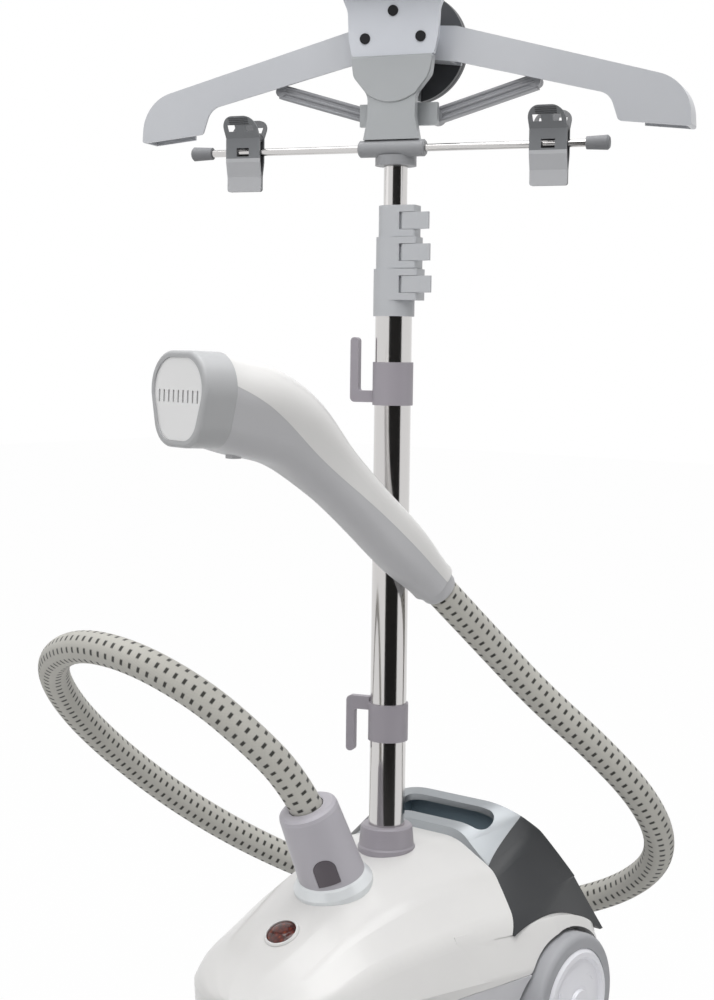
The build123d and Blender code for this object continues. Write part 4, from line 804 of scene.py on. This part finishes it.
@dataclass
class TankSides:
    """Walls that close the tank over each wheel arch. Lengths in this class are millimetres."""

    arc: tuple[float, float, float] = (60.0, 7.0, 123.3)
    inner: float = 105.7
    floor: float = 101.0
    front: float = 21.2
    back: float = 138.0
    lean: float = 13.4
    wall: float = 1.2
    probe_above: float = 0.8
    inset: float = 0.4

    def spot(self, tank: bpy.types.Object, along: float, row: int) -> Vector:
        """Give a point of the wall: up the inner side of the arch, then out to the tank's side.

        Args:
            tank: The solid's tank.
            along: Share of the way from front to back.
            row: Which of the three rows, from the floor outwards.

        Returns:
            The point.
        """
        middle, base, reach = self.arc
        y = self.front + along * (self.back - self.front)
        z = base + math.sqrt(reach**2 - (y - middle) ** 2)
        if row == 0:
            return Vector((self.inner, y - self.lean * (1 - along), self.floor))
        if row == 1:
            return Vector((self.inner, y, z))
        start = Vector((FAR_RIGHT, y * MM, (z + self.probe_above) * MM))
        hit, place, _, _ = tank.ray_cast(start, INWARDS)
        outer = place.x / MM - self.inset if hit else self.inner
        return Vector((max(self.inner + 1.0, outer), y, z))

    def build(self, material: bpy.types.Material) -> None:
        """Build both walls.

        Args:
            material: Their finish.
        """
        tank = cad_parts["water_tank"]
        bpy.ops.object.select_all(action="DESELECT")
        bpy.ops.mesh.primitive_grid_add(x_subdivisions=60, y_subdivisions=2, size=1.0)
        right = bpy.context.object
        for vertex in right.data.vertices:
            vertex.co = self.spot(tank, vertex.co.x + 0.5, round((vertex.co.y + 0.5) * 2)) * MM
        bpy.ops.object.mode_set(mode="EDIT")
        bpy.ops.mesh.select_mode(type="FACE")
        bpy.ops.mesh.select_all(action="SELECT")
        wall = self.wall * MM
        bpy.ops.mesh.extrude_region_move(TRANSFORM_OT_translate={"value": (-wall, 0.0, wall)})
        bpy.ops.mesh.select_all(action="SELECT")
        bpy.ops.mesh.normals_make_consistent(inside=False)
        bpy.ops.object.mode_set(mode="OBJECT")
        bpy.ops.object.shade_smooth_by_angle(angle=SMOOTH_BELOW)
        left = mirrored(right)
        for name, piece in (("right_tank_wall", right), ("left_tank_wall", left)):
            piece.name = piece.data.name = name
            dress_piece(piece, material, "tank")


@dataclass
class FrameFinishes:
    """Finishes of the pieces that the CAD frame already shapes."""

    made: dict[str, bpy.types.Material]

    def dress(self) -> None:
        """Give every CAD node its material."""
        for finish, nodes in NODE_FINISH.items():
            material = finish.make()
            self.made[finish.name] = material
            for node in nodes:
                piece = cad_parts[node]
                piece.data.materials.clear()
                piece.data.materials.append(material)
                log.info("%s: %s", node, finish.name)


@dataclass
class SteamHose:
    """Woven steam hose from the base to the handset."""

    radius: float = 13.5 * MM
    sides: int = 40
    route: tuple[tuple[float, float, float], ...] = (
        (-0.00629, -0.09349, 0.22905), (-0.01267, -0.1067, 0.25522), (-0.027, -0.133, 0.288),
        (-0.063, -0.159, 0.325), (-0.123, -0.177, 0.351), (-0.195, -0.172, 0.351),
        (-0.264, -0.141, 0.320), (-0.302, -0.081, 0.266), (-0.304, -0.010, 0.204),
        (-0.277, 0.061, 0.144), (-0.228, 0.130, 0.094), (-0.163, 0.192, 0.060),
        (-0.089, 0.241, 0.047), (-0.013, 0.272, 0.056), (0.055, 0.278, 0.083),
        (0.107, 0.262, 0.121), (0.135, 0.227, 0.164), (0.136, 0.185, 0.211),
        (0.113, 0.144, 0.258), (0.080, 0.105, 0.303), (0.05302, 0.06199, 0.35504),
        (0.04182, 0.01307, 0.39943),
    )

    def line(self) -> list[Vector]:
        """Read the hose's middle line from one smooth spline through its route.

        Returns:
            Points along the line, from the base to the handset.
        """
        curve = bpy.data.curves.new("hose_line", "CURVE")
        curve.dimensions = "3D"
        spline = curve.splines.new("NURBS")
        spline.points.add(len(self.route) - 1)
        for point, place in zip(spline.points, self.route):
            point.co = (*place, 1.0)
        spline.order_u = 3
        spline.use_endpoint_u = True
        spline.resolution_u = 20
        holder = bpy.data.objects.new("hose_line", curve)
        bpy.context.scene.collection.objects.link(holder)
        bpy.context.view_layer.update()
        mesh = bpy.data.meshes.new_from_object(holder)
        points = [vertex.co.copy() for vertex in mesh.vertices]
        bpy.data.objects.remove(holder)
        bpy.data.curves.remove(curve)
        bpy.data.meshes.remove(mesh)
        return points

    def build(self, material: bpy.types.Material) -> bpy.types.Object:
        """Build the tube with a UV map that runs round it and along it in metres.

        Args:
            material: The sleeve's material.

        Returns:
            The hose.
        """
        line = self.line()
        ahead = [(b - a).normalized() for a, b in zip(line, line[1:])]
        ahead.append(ahead[-1])
        side = ahead[0].orthogonal().normalized()
        vertices, reach, run = [], [], 0.0
        for index, (point, way) in enumerate(zip(line, ahead)):
            side = (side - way * side.dot(way)).normalized()
            up = way.cross(side)
            run += (point - line[max(0, index - 1)]).length
            reach.append(run)
            for step in range(self.sides):
                angle = math.tau * step / self.sides
                vertices.append(point + (side * math.cos(angle) + up * math.sin(angle)) * self.radius)
        faces, uvs = [], []
        for ring in range(len(line) - 1):
            for step in range(self.sides):
                after = (step + 1) % self.sides
                low, high = ring * self.sides, (ring + 1) * self.sides
                faces.append((low + step, low + after, high + after, high + step))
                left, right = step / self.sides, (step + 1) / self.sides
                near, far = reach[ring], reach[ring + 1]
                uvs += [(left, near), (right, near), (right, far), (left, far)]
        last = (len(line) - 1) * self.sides
        faces.append(tuple(reversed(range(self.sides))))
        faces.append(tuple(last + step for step in range(self.sides)))
        uvs += [(0.0, 0.0)] * (2 * self.sides)
        mesh = bpy.data.meshes.new("woven_hose")
        mesh.from_pydata(vertices, [], faces)
        layer = mesh.uv_layers.new(name="sleeve")
        for loop, uv in zip(layer.data, uvs):
            loop.uv = uv
        for face in mesh.polygons:
            face.use_smooth = len(face.vertices) == 4
        mesh.materials.append(material)
        hose = bpy.data.objects.new("woven_hose", mesh)
        bpy.context.scene.collection.objects.link(hose)
        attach(hose, "base")
        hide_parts("steam_hose")
        log.info("woven_hose: %.3f m", reach[-1])
        return hose


@dataclass
class Studio:
    """Camera, white surroundings, soft lamps and a dark card that the steel mirrors."""

    place: tuple[float, float, float] = (0.8619, -1.1032, 0.598)
    turn_deg: float = 39.15
    pitch_deg: float = 5.18
    roll_deg: float = -0.7
    lens_mm: float = 61.49
    white: str = "#FFFFFF"
    surround: float = 0.34
    floor_grey: str = "#D4D4D4"
    floor_glow: float = 0.985
    card_dark: str = "#1E1D1C"
    middle: tuple[float, float, float] = (0.0, 0.0, 0.4)
    card_sides_deg: tuple[float, float] = (10.0, 90.0)
    card_near: float = 0.12
    card_far: float = 1.2
    card_tall: float = 1.8

    def camera(self) -> None:
        """Stand the camera where the photograph was taken from."""
        turn, pitch, roll = [math.radians(a) for a in (self.turn_deg, self.pitch_deg, self.roll_deg)]
        level_part = math.cos(pitch)
        ahead = Vector((-math.sin(turn) * level_part, math.cos(turn) * level_part, -math.sin(pitch)))
        level = Vector((math.cos(turn), math.sin(turn), 0.0))
        upright = level.cross(ahead)
        right = level * math.cos(roll) - upright * math.sin(roll)
        up = level * math.sin(roll) + upright * math.cos(roll)
        data = bpy.data.cameras.new("photo_camera")
        data.sensor_fit = "VERTICAL"
        data.sensor_height = 36.0
        data.lens = self.lens_mm
        data.clip_end = 50.0
        camera = bpy.data.objects.new("photo_camera", data)
        bpy.context.scene.collection.objects.link(camera)
        camera.matrix_world = Matrix((
            (right.x, up.x, -ahead.x, self.place[0]), (right.y, up.y, -ahead.y, self.place[1]),
            (right.z, up.z, -ahead.z, self.place[2]), (0.0, 0.0, 0.0, 1.0),
        ))
        bpy.context.scene.camera = camera

    def seen(self, tree: bpy.types.NodeTree) -> bpy.types.NodeSocket:
        """Give a socket that is 1 for rays that look at the surroundings.

        Args:
            tree: Node tree that asks.

        Returns:
            The socket.
        """
        path = add_node(tree, "LightPath")
        first = add_node(
            tree, "Math", {"operation": "MAXIMUM"},
            {0: path.outputs[Ray.CAMERA.value], 1: path.outputs[Ray.GLOSSY.value]},
        )
        both = add_node(
            tree, "Math", {"operation": "MAXIMUM"},
            {0: first.outputs[0], 1: path.outputs[Ray.TRANSMISSION.value]},
        )
        return both.outputs[0]

    def world(self) -> None:
        """Make the surroundings white to the eye and softer as a light."""
        world = bpy.data.worlds.new("white_room")
        world.use_nodes = True
        bpy.context.scene.world = world
        tree = world.node_tree
        tree.nodes.clear()
        soft = add_node(tree, "Background", {"Color": linear(self.white), "Strength": self.surround})
        plain = add_node(tree, "Background", {"Color": linear(self.white), "Strength": 1.0})
        both = add_node(
            tree, "MixShader", {}, {0: self.seen(tree), 1: soft.outputs[0], 2: plain.outputs[0]}
        )
        add_node(tree, "OutputWorld", {}, {"Surface": both.outputs[0]})

    def floor(self) -> None:
        """Lay a pale floor that keeps a light shadow."""
        bpy.ops.object.select_all(action="DESELECT")
        bpy.ops.mesh.primitive_plane_add(size=14.0, location=(0.0, 0.0, -0.0005))
        floor = bpy.context.object
        floor.name = "pale_floor"
        material = bpy.data.materials.new("pale_floor")
        material.use_nodes = True
        tree = material.node_tree
        shader = tree.nodes["Principled BSDF"]
        shader.inputs["Base Color"].default_value = linear(self.floor_grey)
        shader.inputs["Roughness"].default_value = 0.7
        glow = add_node(tree, "Emission", {"Color": linear(self.white), "Strength": 1.0})
        share = add_node(tree, "Math", {"operation": "MULTIPLY", 1: self.floor_glow}, {0: self.seen(tree)})
        both = add_node(
            tree, "MixShader", {}, {0: share.outputs[0], 1: shader.outputs[0], 2: glow.outputs[0]}
        )
        tree.links.new(both.outputs[0], tree.nodes["Material Output"].inputs["Surface"])
        floor.data.materials.append(material)

    def card(self) -> None:
        """Fold a dark card over the floor and up before the camera, which only mirrors see."""
        bpy.ops.object.select_all(action="DESELECT")
        bpy.ops.mesh.primitive_plane_add(size=1.0)
        card = bpy.context.object
        card.name = "dark_card"
        sides = [math.radians(angle) for angle in self.card_sides_deg]
        near, far = self.card_near, self.card_far
        corners = [(sides[0], near), (sides[1], near), (sides[0], far), (sides[1], far)]
        for vertex, (angle, reach) in zip(card.data.vertices, corners):
            vertex.co = (math.sin(angle) * reach, -math.cos(angle) * reach, 0.0)
        bpy.ops.object.mode_set(mode="EDIT")
        bpy.ops.mesh.select_mode(type="EDGE")
        bpy.ops.mesh.select_all(action="DESELECT")
        bpy.ops.object.mode_set(mode="OBJECT")
        for edge in card.data.edges:
            ends = [card.data.vertices[index].co.length for index in edge.vertices]
            edge.select = min(ends) > 0.5 * (near + far)
        bpy.ops.object.mode_set(mode="EDIT")
        bpy.ops.mesh.extrude_region_move(TRANSFORM_OT_translate={"value": (0.0, 0.0, self.card_tall)})
        bpy.ops.object.mode_set(mode="OBJECT")
        material = bpy.data.materials.new("dark_card")
        material.use_nodes = True
        shader = material.node_tree.nodes["Principled BSDF"]
        shader.inputs["Base Color"].default_value = linear(self.card_dark)
        shader.inputs["Roughness"].default_value = 1.0
        card.data.materials.append(material)
        card.visible_camera = False
        card.visible_diffuse = False
        card.visible_shadow = False
        card.visible_transmission = False

    def lamp(self, name: str, place: tuple[float, float, float], size: float, watts: float) -> None:
        """Hang one square soft lamp that faces the middle of the object.

        Args:
            name: Name of the lamp.
            place: Where it hangs.
            size: Length of its side.
            watts: Its power.
        """
        data = bpy.data.lights.new(name, "AREA")
        data.shape = "SQUARE"
        data.size = size
        data.energy = watts
        lamp = bpy.data.objects.new(name, data)
        bpy.context.scene.collection.objects.link(lamp)
        toward = Vector(self.middle) - Vector(place)
        facing = toward.to_track_quat("-Z", "Y").to_matrix().to_4x4()
        lamp.matrix_world = Matrix.Translation(place) @ facing

    def build(self) -> None:
        """Set up the whole studio."""
        self.camera()
        self.world()
        self.floor()
        self.card()
        self.lamp("key_lamp", (0.75, -1.35, 2.0), 1.4, 17.0)
        self.lamp("fill_lamp", (-1.4, -1.0, 1.3), 1.2, 1.5)
        self.lamp("top_lamp", (0.1, 0.0, 2.3), 1.6, 28.0)
        bpy.context.scene.view_settings.view_transform = "Standard"


def main() -> None:
    """Build and dress the steamer; the hose's length is logged as it is built."""
    Studio().build()
    finishes = FrameFinishes({})
    finishes.dress()
    SteamHose().build(finishes.made[SLEEVE.name])
    HangerTrim().build(finishes.made)
    HoodSides().build(finishes.made[PEARL.name])
    TankSides().build(finishes.made[SMOKED.name])


if __name__ == "__main__":
    main()
